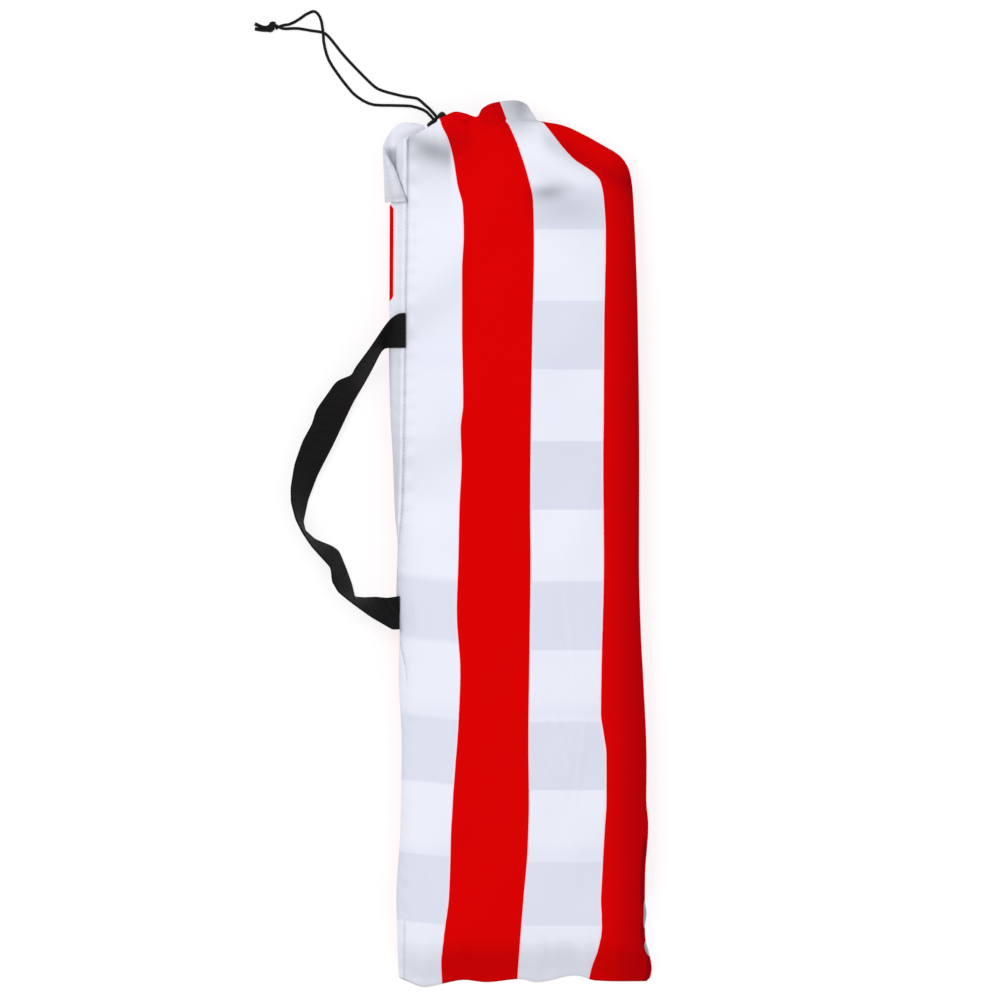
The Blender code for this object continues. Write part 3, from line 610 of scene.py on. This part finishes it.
def section(y, angle):
    """Points round the filled bag at rows y."""
    left = LEFT_SIDE(y)
    right = RIGHT_SIDE(y)
    height = HEIGHT(y)
    half_x = (right - left) / 2
    half_z = (height + SINK) / 2
    x = (left + right) / 2 + half_x * power(np.cos(angle), 2 / CORNER)
    up = power(np.sin(angle), 2 / CORNER)
    z = np.maximum(UNDERSIDE, (height - SINK) / 2 + half_z * up)
    return x, z, up


def bag_points():
    """The outer cloth from the foot to the mouth's rim."""
    share = np.linspace(0, 1, ROWS)[:, None]
    share = share - 0.018 * np.sin(2 * np.pi * share)
    angle = 2 * np.pi * (np.arange(COLUMNS) / COLUMNS)[None, :]
    y0 = FOOT + (MOUTH - FOOT) * share
    x, z, up = section(y0, angle)
    lift = smooth((up + 0.75) / 1.5)
    near_mouth = smooth((y0 - SHOULDER) / (MOUTH - SHOULDER))
    rim = lift * MOUTH_EDGE(x[-1:]) + (1 - lift) * BACK_RIM
    y = y0 + near_mouth * (rim - MOUTH)
    near_foot = smooth((FOOT_TURN - y0) / 0.050)
    y = y + near_foot * (FOOT_EDGE(x) - FOOT)
    y = y + 0.0016 * smooth((-0.297 - y0) / 0.010) * smooth((-0.1 - up) / 0.5) * (share > 0)
    # The front's outline follows the real place of each point, so it is read once more
    read = np.where(y0 > 0.2, lift * y + (1 - lift) * y0, y)
    left, right = left_side(read), RIGHT_SIDE(read)
    half = (right - left) / 2
    x = (left + right) / 2 + half * power(np.cos(angle), 2 / CORNER)
    return np.stack([x, y, z], -1), up, read


def left_side(y):
    """The bag's left edge, without the hem's folded end that stands out from it."""
    return np.maximum(LEFT_SIDE(y), -0.0665 + 0.0125 * smooth((y - 0.240) / 0.014))


def by_handle(y, width):
    """1 beside the handle's sewn ends, falling to 0 away from them along the bag."""
    return np.maximum(bump(y, HANDLE_ROOTS[0], width), bump(y, HANDLE_ROOTS[1], width))


def pucker_phase(y):
    """How far along the side seam's puckers a place is, as an angle."""
    return 2 * np.pi * y / 0.0135 + 2.0 * np.sin(y * 61)


def folds(points, up):
    """Soft dents and ridges of the cloth: sag between the pieces, gathers, puckers and creases."""
    x, y, z = points[..., 0], points[..., 1], points[..., 2]
    front = smooth(up / 0.5)
    rng = np.random.default_rng(11)
    drop = np.zeros_like(x)
    # long soft waves
    for _ in range(16):
        wave_x = rng.uniform(0.045, 0.12)
        wave_y = rng.uniform(0.06, 0.20)
        slant = rng.uniform(-0.5, 0.5)
        across = np.sin(2 * np.pi * (x / wave_x + slant * y / wave_y) + rng.uniform(0, 6.3))
        along = np.sin(2 * np.pi * y / wave_y + rng.uniform(0, 6.3))
        drop += 0.00030 * across * along
    # the dent under the shoulder fold, and the ridge that runs up to the gathered mouth
    drop += -0.0040 * bump(y - 0.254 + 0.35 * (x - 0.060), 0, 0.0085) * bump(x, 0.062, 0.030)
    drop += 0.0022 * bump(y - 0.272 + 0.55 * (x - 0.060), 0, 0.011) * bump(x, 0.058, 0.034)
    drop += -0.0028 * bump(x - (0.004 - 0.22 * (y - 0.29)), 0, 0.008) * smooth((y - 0.245) / 0.05)
    drop += -0.0022 * bump(x + 0.030, 0, 0.010) * smooth((y - 0.262) / 0.03)
    drop += 0.0020 * bump(x - 0.022, 0, 0.012) * smooth((y - 0.265) / 0.04)
    # gathers of the drawn mouth, all round
    phase = np.arctan2(z - 0.02, x + 0.006)
    gather = smooth((y - 0.268) / 0.040)
    drop += 0.0007 * gather * np.sin(17 * phase + 0.7) + 0.0005 * gather * np.sin(29 * phase + 2.0)
    # diagonal creases in the middle white stripe and puckers of the foot
    for cx, cy, dx, dy, depth in ((0.062, -0.130, 0.30, -1.0, 0.0008), (0.056, -0.160, 0.62, -0.8, 0.0007),
                                  (0.077, -0.158, -0.16, -1.0, 0.0006), (0.070, -0.060, 0.12, -1.0, 0.0005)):
        norm = math.hypot(dx, dy)
        off = ((x - cx) * dy - (y - cy) * dx) / norm
        run = ((x - cx) * dx + (y - cy) * dy) / norm
        drop += depth * bump(off, 0, 0.0016) * bump(run, 0, 0.030)
        drop -= 0.6 * depth * bump(off, 0.0032, 0.0020) * bump(run, 0, 0.030)
    foot = smooth((-0.270 - y) / 0.035)
    drop += 0.0013 * foot * np.sin(2 * np.pi * (x / 0.026 + 0.35 * np.sin(x * 90)))
    drop += 0.0006 * foot * np.sin(2 * np.pi * x / 0.0115 + 1.0)
    # light puckers along the seam
    seam_near = bump(x - SEAM(y), -0.004, 0.0075)
    drop += 0.00060 * seam_near * np.sin(pucker_phase(y) + 250 * (x + 0.05))
    held_flat = by_handle(y, 0.018) * smooth((-0.040 - x) / 0.004)
    return drop * front * (1 - held_flat)


def seam_step(points, up):
    """The turned seam: a low ridge with a groove beside it."""
    x, y = points[..., 0], points[..., 1]
    shown = smooth((up - 0.1) / 0.2) * (smooth((y + 0.005) / 0.02) + bump(y, -0.078, 0.016))
    shown = shown * (1 - by_handle(y, 0.016))
    near = x - SEAM(y)
    return shown * (0.0015 * bump(near, -0.0022, 0.0017) - 0.0012 * bump(near, 0.0004, 0.0011))


def stripe_places(points, read):
    """Which stripe each point lies in, as a number that grows by one each 50 mm round the bag."""
    x, y = points[..., 0], points[..., 1]
    rows, columns = x.shape
    sliver = smooth((y - 0.172) / 0.006) * smooth((0.246 - y) / 0.006)
    left_at = 0.03 - 0.085 * sliver
    lens = np.maximum(1 - ((y + 0.2635) / 0.0110) ** 2, 1 - ((y + 0.2880) / 0.0062) ** 2)
    right_at = np.where(lens > 0, 4 + 0.075 * lens, np.maximum(3.66, 4 + 0.3 * lens))
    left, right = left_side(read), RIGHT_SIDE(read)
    knots = np.stack([left, EDGE_1(y), EDGE_2(y), np.minimum(EDGE_3(y), right - 0.0015), right], -1)
    marks = np.stack([left_at, np.ones_like(x), 2 * np.ones_like(x), 3 * np.ones_like(x), right_at], -1)
    top = np.empty_like(x)
    for i in range(rows):
        for j in range(columns):
            top[i, j] = np.interp(x[i, j], knots[i, j], marks[i, j])
    half = columns // 2
    # underneath, the rest of the stripes share out the cloth by its length
    under = np.empty_like(x)
    for i in range(rows):
        line = points[i, half:]
        steps = np.linalg.norm(np.diff(line, axis=0), axis=1)
        run = np.concatenate([[0], np.cumsum(steps)]) / max(1e-9, steps.sum())
        start = 8 + left_at[i, half]
        under[i, half:] = start + (right_at[i, 0] - start) * run
    return np.concatenate([top[:, :half + 1], under[:, half + 1:]], 1)


def sock_bands(points):
    """How the folded sock shows through the white stripes: place in its bands, softness and depth."""
    x, y = points[..., 0], points[..., 1]
    left_part = smooth((0.018 - x) / 0.012)
    middle = (y - 0.025 - 0.004 * smooth((y + 0.24) / -0.04)) / (2 * SOCK_BAND)
    tilted = (y - 0.030 + 0.10 * (x + 0.030)) / (2 * SOCK_BAND)
    phase = middle * (1 - left_part) + tilted * left_part + 40.0
    soft = 0.006 + 0.05 * left_part * smooth((y + 0.25) / 0.25) + 0.05 * smooth((y - 0.235) / 0.02)
    fade_top = smooth((0.262 - y) / 0.016)
    depth = (1 - left_part) * (0.46 + 0.06 * bump(y, -0.15, 0.05) + 0.10 * bump(y, 0.05, 0.09)) * fade_top
    depth = depth + left_part * (0.42 * smooth((0.004 - y) / 0.03) + 0.05)
    fold = bump(y, -0.119, 0.0058) + bump(y, -0.220, 0.0055) + 0.8 * bump(y, 0.130, 0.004)
    return phase, soft, depth, np.clip(fold, 0, 1) * (1 - 0.3 * left_part)


def occlusion(points, up):
    """Painted shade: where cloth lies against cloth and light doesn't reach, and where the bag's right side
    turns away from the light.
    """
    x, y = points[..., 0], points[..., 1]
    # under the shoulder's fold, and the gathered cloth at the mouth
    painted_shade = 0.27 * bump(y - 0.2525 - 0.10 * (x - 0.056), 0, 0.0055) * bump(x, 0.055, 0.013)
    painted_shade += 0.13 * bump(y - 0.240, 0, 0.014) * smooth((x - 0.030) / 0.012) * bump(x, 0.066, 0.030)
    painted_shade += 0.16 * smooth((y - 0.292 - 0.25 * np.abs(x - 0.02)) / 0.022)
    painted_shade += 0.22 * bump(x, 0.033, 0.011) * smooth((y - 0.284) / 0.020)
    painted_shade += 0.15 * bump(x + 0.011, 0, 0.010) * bump(y, 0.287, 0.012)
    painted_shade += 0.12 * bump(x + 0.030, 0, 0.011) * bump(y, 0.281, 0.010)
    painted_shade += 0.16 * bump(y - 0.283 + 0.55 * (x - 0.066), 0, 0.008) * smooth((x - 0.046) / 0.01)
    by_mouth = smooth((-0.013 - x) / 0.004) * smooth((x + 0.0470) / 0.0015)
    painted_shade += 0.22 * by_mouth * bump(y - 0.2865 + 0.42 * (x + 0.038), 0, 0.0085)
    painted_shade += 0.10 * by_mouth * bump(y, 0.272, 0.018)
    # painted shade of broad soft slants in the first white stripe
    painted_shade += 0.07 * smooth((0.0 - x) / 0.01) * bump(y - 0.168 - 0.7 * (x + 0.03), 0, 0.018)
    painted_shade += 0.05 * smooth((0.0 - x) / 0.01) * bump(y - 0.062 - 0.5 * (x + 0.03), 0, 0.022)
    # painted shade where the bag's right side turns away from the light
    painted_shade += 0.15 * smooth((x - 0.098) / 0.022)
    painted_shade += 0.07 * smooth((x - 0.090) / 0.006) * smooth((x - 0.088) / 0.02)
    painted_shade += 0.22 * smooth((x - RIGHT_SIDE(y) + 0.0045) / 0.002) * smooth((-0.205 - y) / 0.01)
    # the seam's groove and its puckers
    near = x - SEAM(y)
    shown = smooth((y + 0.010) / 0.03) + 0.8 * bump(y, -0.078, 0.016) + 0.5 * smooth((-0.262 - y) / 0.01)
    painted_shade += 0.34 * shown * bump(near, 0.0004, 0.0006)
    painted_shade += 0.07 * smooth((y + 0.010) / 0.03) * bump(near, -0.0050, 0.0032)
    painted_shade += 0.05 * shown * bump(near, 0.004, 0.004) * np.sin(pucker_phase(y))
    return np.clip(1.25 * painted_shade * smooth(up / 0.3), 0, 0.7)


def inward_of(ring):
    """Unit vectors across the bag, from each point of a ring towards the inside, turning smoothly."""
    angle = 2 * np.pi * np.arange(len(ring)) / len(ring)
    across = np.stack([-power(np.cos(angle), 2.5), 0 * angle, -np.sin(angle)], 1)
    return across / np.linalg.norm(across, axis=1)[:, None]


def corner_attribute(mesh, name, values):
    """A value at each face corner of a wrapped grid, so that a stripe can end on a shared edge."""
    rows, columns = values.shape
    half = columns // 2
    found = np.empty((rows - 1, columns, 4), np.float32)
    following = np.roll(values, -1, axis=1)
    found[..., 0] = values[:-1]
    found[..., 1] = following[:-1]
    found[..., 2] = following[1:]
    found[..., 3] = values[1:]
    found[:, half, 0] += STRIPES_ROUND
    found[:, half, 3] += STRIPES_ROUND
    made = mesh.attributes.new(name, "FLOAT", "CORNER")
    made.data.foreach_set("value", found.ravel())


def bag_shell(look):
    outer, up, read = bag_points()
    settled = smooth((outer[..., 2] - 0.002) / 0.010)
    outer[..., 2] += (folds(outer, up) + seam_step(outer, up)) * settled
    outer[..., 2] = np.maximum(outer[..., 2], np.where(up > 0, 0.0024, 0.0006))
    outer[0, :, 2] = 0.0012
    stripe = stripe_places(outer, read)
    phase, soft, depth, fold = sock_bands(outer)
    shade = occlusion(outer, up)
    # the mouth's hem is turned in round the cord: a rounded rim and a band inside it
    extra = []
    for k in range(1, HEM_TURN + 1):
        turn = math.pi * k / HEM_TURN
        row = outer[-1] + inward_of(outer[-1]) * LINING * (1 - math.cos(turn)) / 2
        row[:, 1] += 0.0008 * math.sin(turn)
        extra.append(row)
    for k in range(1, HEM_ROWS - HEM_TURN + 1):
        below = outer[-1 - k]
        deeper = LINING * (1 + 1.2 * smooth((below[:, 0] - 0.042) / 0.008))[:, None]
        extra.append(below + inward_of(below) * deeper * (1 + 0.25 * min(1.0, k / 4)))
    points = np.concatenate([outer, np.array(extra)], 0)
    points[..., 2] = np.maximum(points[..., 2], UNDERSIDE)
    mesh = grid_mesh("bag_cloth", points, wrap=True)

    def with_hem(values):
        return np.concatenate([values, np.repeat(values[-1:], HEM_ROWS, 0)], 0)

    corner_attribute(mesh, "stripe", with_hem(stripe))
    for name, values in (("sock_phase", phase), ("sock_soft", soft),
                         ("sock_depth", depth), ("sock_fold", fold), ("shade", shade)):
        attribute(mesh, name, with_hem(values))
    mesh.materials.append(look)
    obj = link(bpy.data.objects.new("bag_cloth", mesh))
    bm = bmesh.new()
    bm.from_mesh(mesh)
    loop = [v for v in bm.verts if v.index < COLUMNS]
    loop.sort(key=lambda v: v.index)
    half = COLUMNS // 2
    for j in range(1, half):
        loop[COLUMNS - j].co = loop[j].co
    bmesh.ops.remove_doubles(bm, verts=loop, dist=0.00001)
    bmesh.ops.recalc_face_normals(bm, faces=bm.faces)
    bm.to_mesh(mesh)
    bm.free()
    mesh.shade_smooth()
    thicken(obj, CLOTH, offset=-1.0)
    applied(obj)
    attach(obj, "bag")
    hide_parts("bag_shell", "drawcord_casing", "drawcord_loop")
    return outer


def surface_point(outer, x, y, lift=0.0):
    """The place on the bag's top nearest to x, y, raised along Z."""
    top = outer[:, :COLUMNS // 2]
    distance = (top[..., 0] - x) ** 2 + (top[..., 1] - y) ** 2
    i, j = np.unravel_index(np.argmin(distance), distance.shape)
    return Vector((x, y, float(top[i, j, 2]) + lift))


def ear_piece(name, heights, left_edge, right_edge, look, level, shade_at):
    """One part of the hem's folded end, from its lower to its upper height along the bag."""
    rows, columns = 50, 30
    points = np.zeros((rows, columns, 3))
    shade = np.zeros((rows, columns))
    for i in range(rows):
        t = i / (rows - 1)
        y = heights[0] + (heights[1] - heights[0]) * t
        right, left = float(right_edge(y)), float(left_edge(y))
        for j in range(columns):
            u = math.sin(j / (columns - 1) * math.pi / 2) ** 0.9
            x = right + (left - right) * u
            points[i, j] = (x, y, level(x, y, u, t))
            shade[i, j] = shade_at(x, y, j)
    mesh = grid_mesh(name, points, wrap=False)
    attribute(mesh, "stripe", np.full((rows, columns), 0.5))
    attribute(mesh, "shade", shade)
    mesh.materials.append(look)
    obj = link(bpy.data.objects.new(name, mesh))
    thicken(obj, CLOTH)
    applied(obj)
    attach(obj, "bag")


def ear(outer, look):
    """The end of the mouth's hem at the side seam: a flap folded outwards, and the back's hem behind it."""
    def flap_level(x, y, u, t):
        base = surface_point(outer, max(x, -0.0520), y).z
        stand = 0.0012 + 0.0030 * math.sin(math.pi * min(1.0, u * 1.1)) * (1 - 0.4 * t)
        drop = 0.0400 * max(0.0, u - 0.55) ** 1.5 * (1 - t)
        return base + stand - drop + 0.0004 * math.sin(26 * t + 5 * u)

    def flap_shade(x, y, j):
        slit = 0.60 * float(smooth((0.2700 - y) / 0.002)) if j == 0 else 0.0
        soft = 0.13 + 0.09 * float(smooth((0.268 - y) / 0.022)) + 0.03 * math.sin(900 * x + 160 * y)
        return max(slit, soft)

    ear_piece("mouth_ear", (0.2450, 0.2835),
              mm_curve((243, -61.9), (250, -62.2), (262, -62.6), (275, -63.2), (285, -63.4)),
              mm_curve((243, -44.9), (246.1, -46.1), (268.5, -54.9), (282.7, -62.0), (290, -63.0)),
              look, flap_level, flap_shade)

    def back_level(x, y, u, t):
        return 0.0192 - 0.0040 * u * u + 0.0005 * math.sin(22 * t + 4 * u)

    def back_shade(x, y, j):
        recess = float(smooth((0.2870 - y) / 0.007)) * float(smooth((x + 0.0640) / 0.006))
        edge = 0.12 * float(smooth((-0.0560 - x) / 0.004))
        return 0.04 + 0.42 * recess + edge

    ear_piece("mouth_ear_back", (0.2640, 0.3020),
              mm_curve((262, -61.6), (275, -62.9), (283, -63.5), (288, -62.4), (292, -60.4), (297, -57.0),
                       (300.5, -53.0), (302, -47.0)),
              mm_curve((262, -53.6), (284, -53.4), (288, -50.0), (293, -38.0), (297, -33.0), (300.0, -34.5),
                       (302, -43.0)),
              look, back_level, back_shade)


def capsule_row(name, places, radius, look):
    """Short stitches, each a small ridge of thread between two points."""
    routes = []
    for a, b in places:
        a, b = Vector(a), Vector(b)
        mid = (a + b) / 2 + Vector((0, 0, radius * 0.6))
        routes.append([tuple(a), tuple(a.lerp(mid, 0.6)), tuple(mid), tuple(b.lerp(mid, 0.6)), tuple(b)])
    obj = curve_object(name, routes, radius, look, resolution=2)
    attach(obj, "bag")
    return obj


def stitches(outer, look):
    """The side seam's stitching, left out where the handle covers it."""
    places = []
    y = -0.298
    while y < 0.240:
        x = float(SEAM(y)) + 0.0006
        covered = any(low < y < high for low, high in HANDLE_COVERS)
        if float(LEFT_SIDE(y)) < x - 0.0012 and not covered:
            places.append((surface_point(outer, x, y, 0.0001), surface_point(outer, x, y + 0.0019, 0.0001)))
        y += 0.0030
    seam = capsule_row("side_seam_stitches", places, 0.00016, look)


# ---------------------------------------------------------------- the webbing handle

OUTER_EDGE = (
    (-46.6, 166), (-52.5, 165.8), (-58, 162), (-63, 155), (-68.4, 146.6), (-76, 136), (-83.6, 126.4),
    (-85.3, 121.4), (-91, 119.5), (-97.1, 117), (-103.9, 107), (-111.4, 97), (-113.9, 87), (-120.7, 75),
    (-126.6, 58), (-129.2, 41), (-128.9, 31), (-125.7, 19), (-120.7, 9), (-113.9, -1), (-106.8, -9),
    (-100.5, -16), (-99.6, -26), (-95.4, -33), (-85.3, -41), (-71.8, -51), (-56.6, -60), (-51.3, -59.8),
)
INNER_EDGE = (
    (-46.6, 141), (-56, 141), (-64.3, 140.6), (-71.8, 125.6), (-77, 116.5), (-85.3, 102), (-98.8, 73),
    (-110.6, 50), (-117.3, 33), (-121, 17), (-119.5, 10.5), (-112.3, 4), (-100.5, -0.5), (-95.4, -4),
    (-90.4, -16), (-86.1, -28), (-84.1, -37.2), (-77, -37.6), (-68.4, -37), (-60, -37.5), (-51.5, -36),
)
EDGE_PAIRS = ((0, 0), (7, 4), (12, 6), (15, 7.8), (17, 9), (19, 11), (22, 14), (23.6, 16), (25, 18), (27, 20))
ROOT_HEIGHT = 0.0278
MIDDLE_HEIGHT = 0.0128
ROOT_LAP = 0.0040
WEBBING_THICKNESS = 0.0013


def top_height(x, y):
    left, right = float(LEFT_SIDE(y)), float(RIGHT_SIDE(y))
    height = float(HEIGHT(y))
    share = min(0.999, abs((x - (left + right) / 2) / ((right - left) / 2)))
    return (height - SINK) / 2 + (height + SINK) / 2 * (1 - share ** CORNER) ** (1 / CORNER)


def along_edge(edge, places):
    steps = np.arange(len(edge))
    pts = np.array(edge) * MM
    return np.stack([np.interp(places, steps, pts[:, k]) for k in (0, 1)], 1)


def handle(look):
    count = 200
    t = np.linspace(0, len(EDGE_PAIRS) - 1, count)
    steps = np.arange(len(EDGE_PAIRS))
    outer = along_edge(OUTER_EDGE, np.interp(t, steps, [a for a, _ in EDGE_PAIRS]))
    inner = along_edge(INNER_EDGE, np.interp(t, steps, [b for _, b in EDGE_PAIRS]))
    kernel = np.array([1, 2, 3, 2, 1]) / 9
    for edge in (outer, inner):
        padded_edge = np.concatenate([edge[:1]] * 2 + [edge] + [edge[-1:]] * 2)
        for k in (0, 1):
            edge[:, k] = np.convolve(padded_edge[:, k], kernel, mode="valid")
    middle = (outer + inner) / 2
    reach = np.concatenate([[0], np.cumsum(np.linalg.norm(np.diff(middle, axis=0), axis=1))])
    even = np.linspace(0, reach[-1], count)
    outer = np.stack([np.interp(even, reach, outer[:, k]) for k in (0, 1)], 1)
    inner = np.stack([np.interp(even, reach, inner[:, k]) for k in (0, 1)], 1)
    width = np.linalg.norm(outer - inner, axis=1)
    tilt = np.sqrt(np.maximum(0.0, WEBBING ** 2 - np.minimum(width, WEBBING) ** 2))
    tilt = np.convolve(np.pad(tilt, 3, mode="edge"), np.ones(7) / 7, mode="valid")
    share = even / reach[-1]
    end = np.minimum(share, 1 - share)
    centre_z = MIDDLE_HEIGHT + (ROOT_HEIGHT - MIDDLE_HEIGHT) * (1 - smooth(end / 0.20))
    centre_z = np.maximum(centre_z, tilt / 2 + 0.0011)
    across_count = 13
    points = np.zeros((count, across_count, 3))
    across = np.zeros((count, across_count))
    for j in range(across_count):
        v = j / (across_count - 1)
        plan = outer * (1 - v) + inner * v
        points[:, j, 0] = plan[:, 0]
        points[:, j, 1] = plan[:, 1]
        cup = 0.0009 * np.sin(math.pi * v) * np.sin(share * 9.0)
        points[:, j, 2] = centre_z + tilt * (0.5 - v) + cup
        across[:, j] = v * WEBBING
    for i in range(count):
        for j in range(across_count):
            x, y, z = points[i, j]
            inside = x - float(LEFT_SIDE(y))
            if inside > -ROOT_LAP:
                lift = top_height(max(x, float(LEFT_SIDE(y)) + 0.0010), y) + 0.0020
                points[i, j, 2] = z + (max(z, lift) - z) * float(smooth((inside + ROOT_LAP) / 0.0045))
    mesh = grid_mesh("handle_webbing", points, wrap=False)
    attribute(mesh, "along", np.repeat(even[:, None], across_count, 1))
    attribute(mesh, "across", across)
    mesh.materials.append(look)
    obj = link(bpy.data.objects.new("handle_webbing", mesh))
    thicken(obj, WEBBING_THICKNESS)
    rounding = obj.modifiers.new("edge", "BEVEL")
    rounding.width = 0.0003
    rounding.segments = 1
    rounding.limit_method = "ANGLE"
    applied(obj)
    obj.data.shade_smooth()
    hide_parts("handle_strap", "handle_end_upper", "handle_end_lower")
    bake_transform(obj)


# ---------------------------------------------------------------- the folded windsock

SOCK_FOOT = -0.2725
SOCK_HEAD = 0.2515
SOCK_LEFT = -0.0478
LAYER_DEPTH = 0.0050
SIDE_DEPTH = 0.0075
# The row of poles in the sock: its left tube's middle, its right end, its height and a tube's clearance
ROW_LEFT = -0.0375
ROW_RIGHT = 0.0385
ROW_HEIGHT = 0.0222
TUBE_CLEAR = 0.0084


def sock_section(y):
    """The sock's folds across the bag at Y: two layers over the poles, one under, and a fold beside them."""
    right = min(0.1165, float(RIGHT_SIDE(y)) - 0.0065)

    def over(x, depth):
        shield = 0.0
        if x < ROW_RIGHT:
            reach = max(0.0, ROW_LEFT - x)
            shield = ROW_HEIGHT + math.sqrt(max(0.0, TUBE_CLEAR ** 2 - min(reach, TUBE_CLEAR) ** 2))
        return max(min(top_height(x, y) - 0.0036, 0.0418) - depth, shield + 0.0008)

    path = []
    for x in np.linspace(SOCK_LEFT + 0.004, right - 0.005, 34):
        path.append((x, max(over(x, 0.0), over(x, LAYER_DEPTH) + 0.0012)))
    edge = over(right - 0.005, 0.0)
    path += [
        (right - 0.0018, edge - 0.0020),
        (right - 0.0010, edge - 0.0050),
        (right - 0.0022, edge - 0.0075),
    ]
    for x in np.linspace(right - 0.007, SOCK_LEFT + 0.002, 34):
        path.append((x, over(x, SIDE_DEPTH if x > ROW_RIGHT else LAYER_DEPTH)))
    path += [
        (SOCK_LEFT, 0.0240),
        (SOCK_LEFT - 0.0006, 0.0200),
        (SOCK_LEFT, 0.0140),
        (SOCK_LEFT + 0.0030, 0.0100),
    ]
    for x in np.linspace(SOCK_LEFT + 0.008, right - 0.005, 30):
        path.append((x, 0.0075))
    path += [(right - 0.0010, 0.0092), (right + 0.0004, 0.0125), (right - 0.0016, 0.0160)]
    for x in np.linspace(right - 0.007, 0.0480, 16):
        path.append((x, 0.0178))
    path += [(0.0435, 0.0196), (0.0425, 0.0225), (0.0440, 0.0250)]
    for x in np.linspace(0.0490, right - 0.010, 16):
        path.append((x, 0.0262))
    return evenly([(x, y, z) for x, z in path], 230)


def windsock(look):
    rows = 90
    points = []
    for k in range(rows):
        y = SOCK_FOOT + (SOCK_HEAD - SOCK_FOOT) * k / (rows - 1)
        ring = sock_section(y)
        run = np.linspace(0, 1, len(ring))
        wave = 0.0005 * np.sin(2 * np.pi * (y / 0.083 + 3 * run))
        wave += 0.0004 * np.sin(2 * np.pi * (y / 0.031 + 9 * run))
        near_end = 0.0022 * max(0.0, 1 - min(y - SOCK_FOOT, SOCK_HEAD - y) / 0.02)
        ring[:, 2] += wave
        ring[:, 1] = y + np.sign(y) * -near_end * np.sin(2 * np.pi * run * 4) ** 2
        points.append(ring)
    points = np.array(points)
    mesh = grid_mesh("folded_windsock", points, wrap=False)
    attribute(mesh, "band", (points[..., 1] - 0.025) / SOCK_BAND)
    mesh.materials.append(look)
    obj = link(bpy.data.objects.new("folded_windsock", mesh))
    thicken(obj, CLOTH)
    applied(obj)
    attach(obj, "windsock")
    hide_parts("windsock_pack")
    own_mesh(obj)
    return obj


def sock_material():
    """Thin ripstop with the sock's own bands, red and white in turn along its length."""
    n = Nodes("windsock cloth")
    band = n.math("FRACT", n.math("MULTIPLY", n.attribute("band"), 0.5))
    is_red = n.between(n.math("ABSOLUTE", n.math("SUBTRACT", band, 0.25)), 0.249, 0.251, 1.0, 0.0)
    fine = n.noise(700.0, 2.0)
    white = n.mix(n.between(fine, 0.3, 0.7), WHITE, (0.74, 0.76, 0.86))
    red = n.mix(n.between(fine, 0.3, 0.7), RED, (0.62, 0.003, 0.004))
    n.bump(weave_height(n, 0.0012), 0.15, 0.0002)
    return n.finish(n.mix(is_red, white, red), 0.6, Specular_IOR_Level=0.12)


# ---------------------------------------------------------------- finishes of the hard pieces


def dress_cad(cord_look):
    aluminium = metal_material("anodised aluminium", (0.78, 0.79, 0.80), (0.62, 0.63, 0.65), 0.30,
                               (300, 3, 300))
    steel = metal_material("zinc plate", (0.66, 0.66, 0.64), (0.45, 0.45, 0.43), 0.32, (90, 90, 90))
    plastic = plastic_material()
    looks = {
        "aluminium": (aluminium, ["pole_tube_1", "pole_tube_2", "pole_tube_3", "pole_tube_4",
                                  "ferrule_1", "ferrule_2", "ferrule_3"]),
        "steel": (steel, ["cord_lock_spring", "swivel_pin", "swivel_washer", "swivel_collar", "swivel_nut",
                          "ground_spike", "bridle_ring", "snap_hook"]),
        "plastic": (plastic, ["cord_lock_barrel", "cord_lock_plunger", "top_plug", "spike_guard",
                              "hoop_joiner"]),
        "glass fibre": (glass_fibre_material(), ["hoop_rod"]),
        "cord": (cord_look, ["bridle_hank", "drawcord_loop", "drawcord_knot"]),
    }
    for look, names in looks.values():
        for name in names:
            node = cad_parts[name]
            node.data.materials.clear()
            node.data.materials.append(look)


def main():
    camera_and_light()
    cord_look = cord_material()
    ends = knot(cord_look)
    strand("cord_long", "drawcord_strand_long", -1, LONG_ROUTE, cord_look)
    strand("cord_short", "drawcord_strand_short", 1, SHORT_ROUTE, cord_look)

    cloth = stripe_cloth("striped polyester", "stripe", True)
    outer = bag_shell(cloth)
    ear(outer, cloth)
    stitches(outer, plain_white_cloth("white polyester"))
    handle(webbing_material())
    windsock(sock_material())
    dress_cad(cord_look)


main()
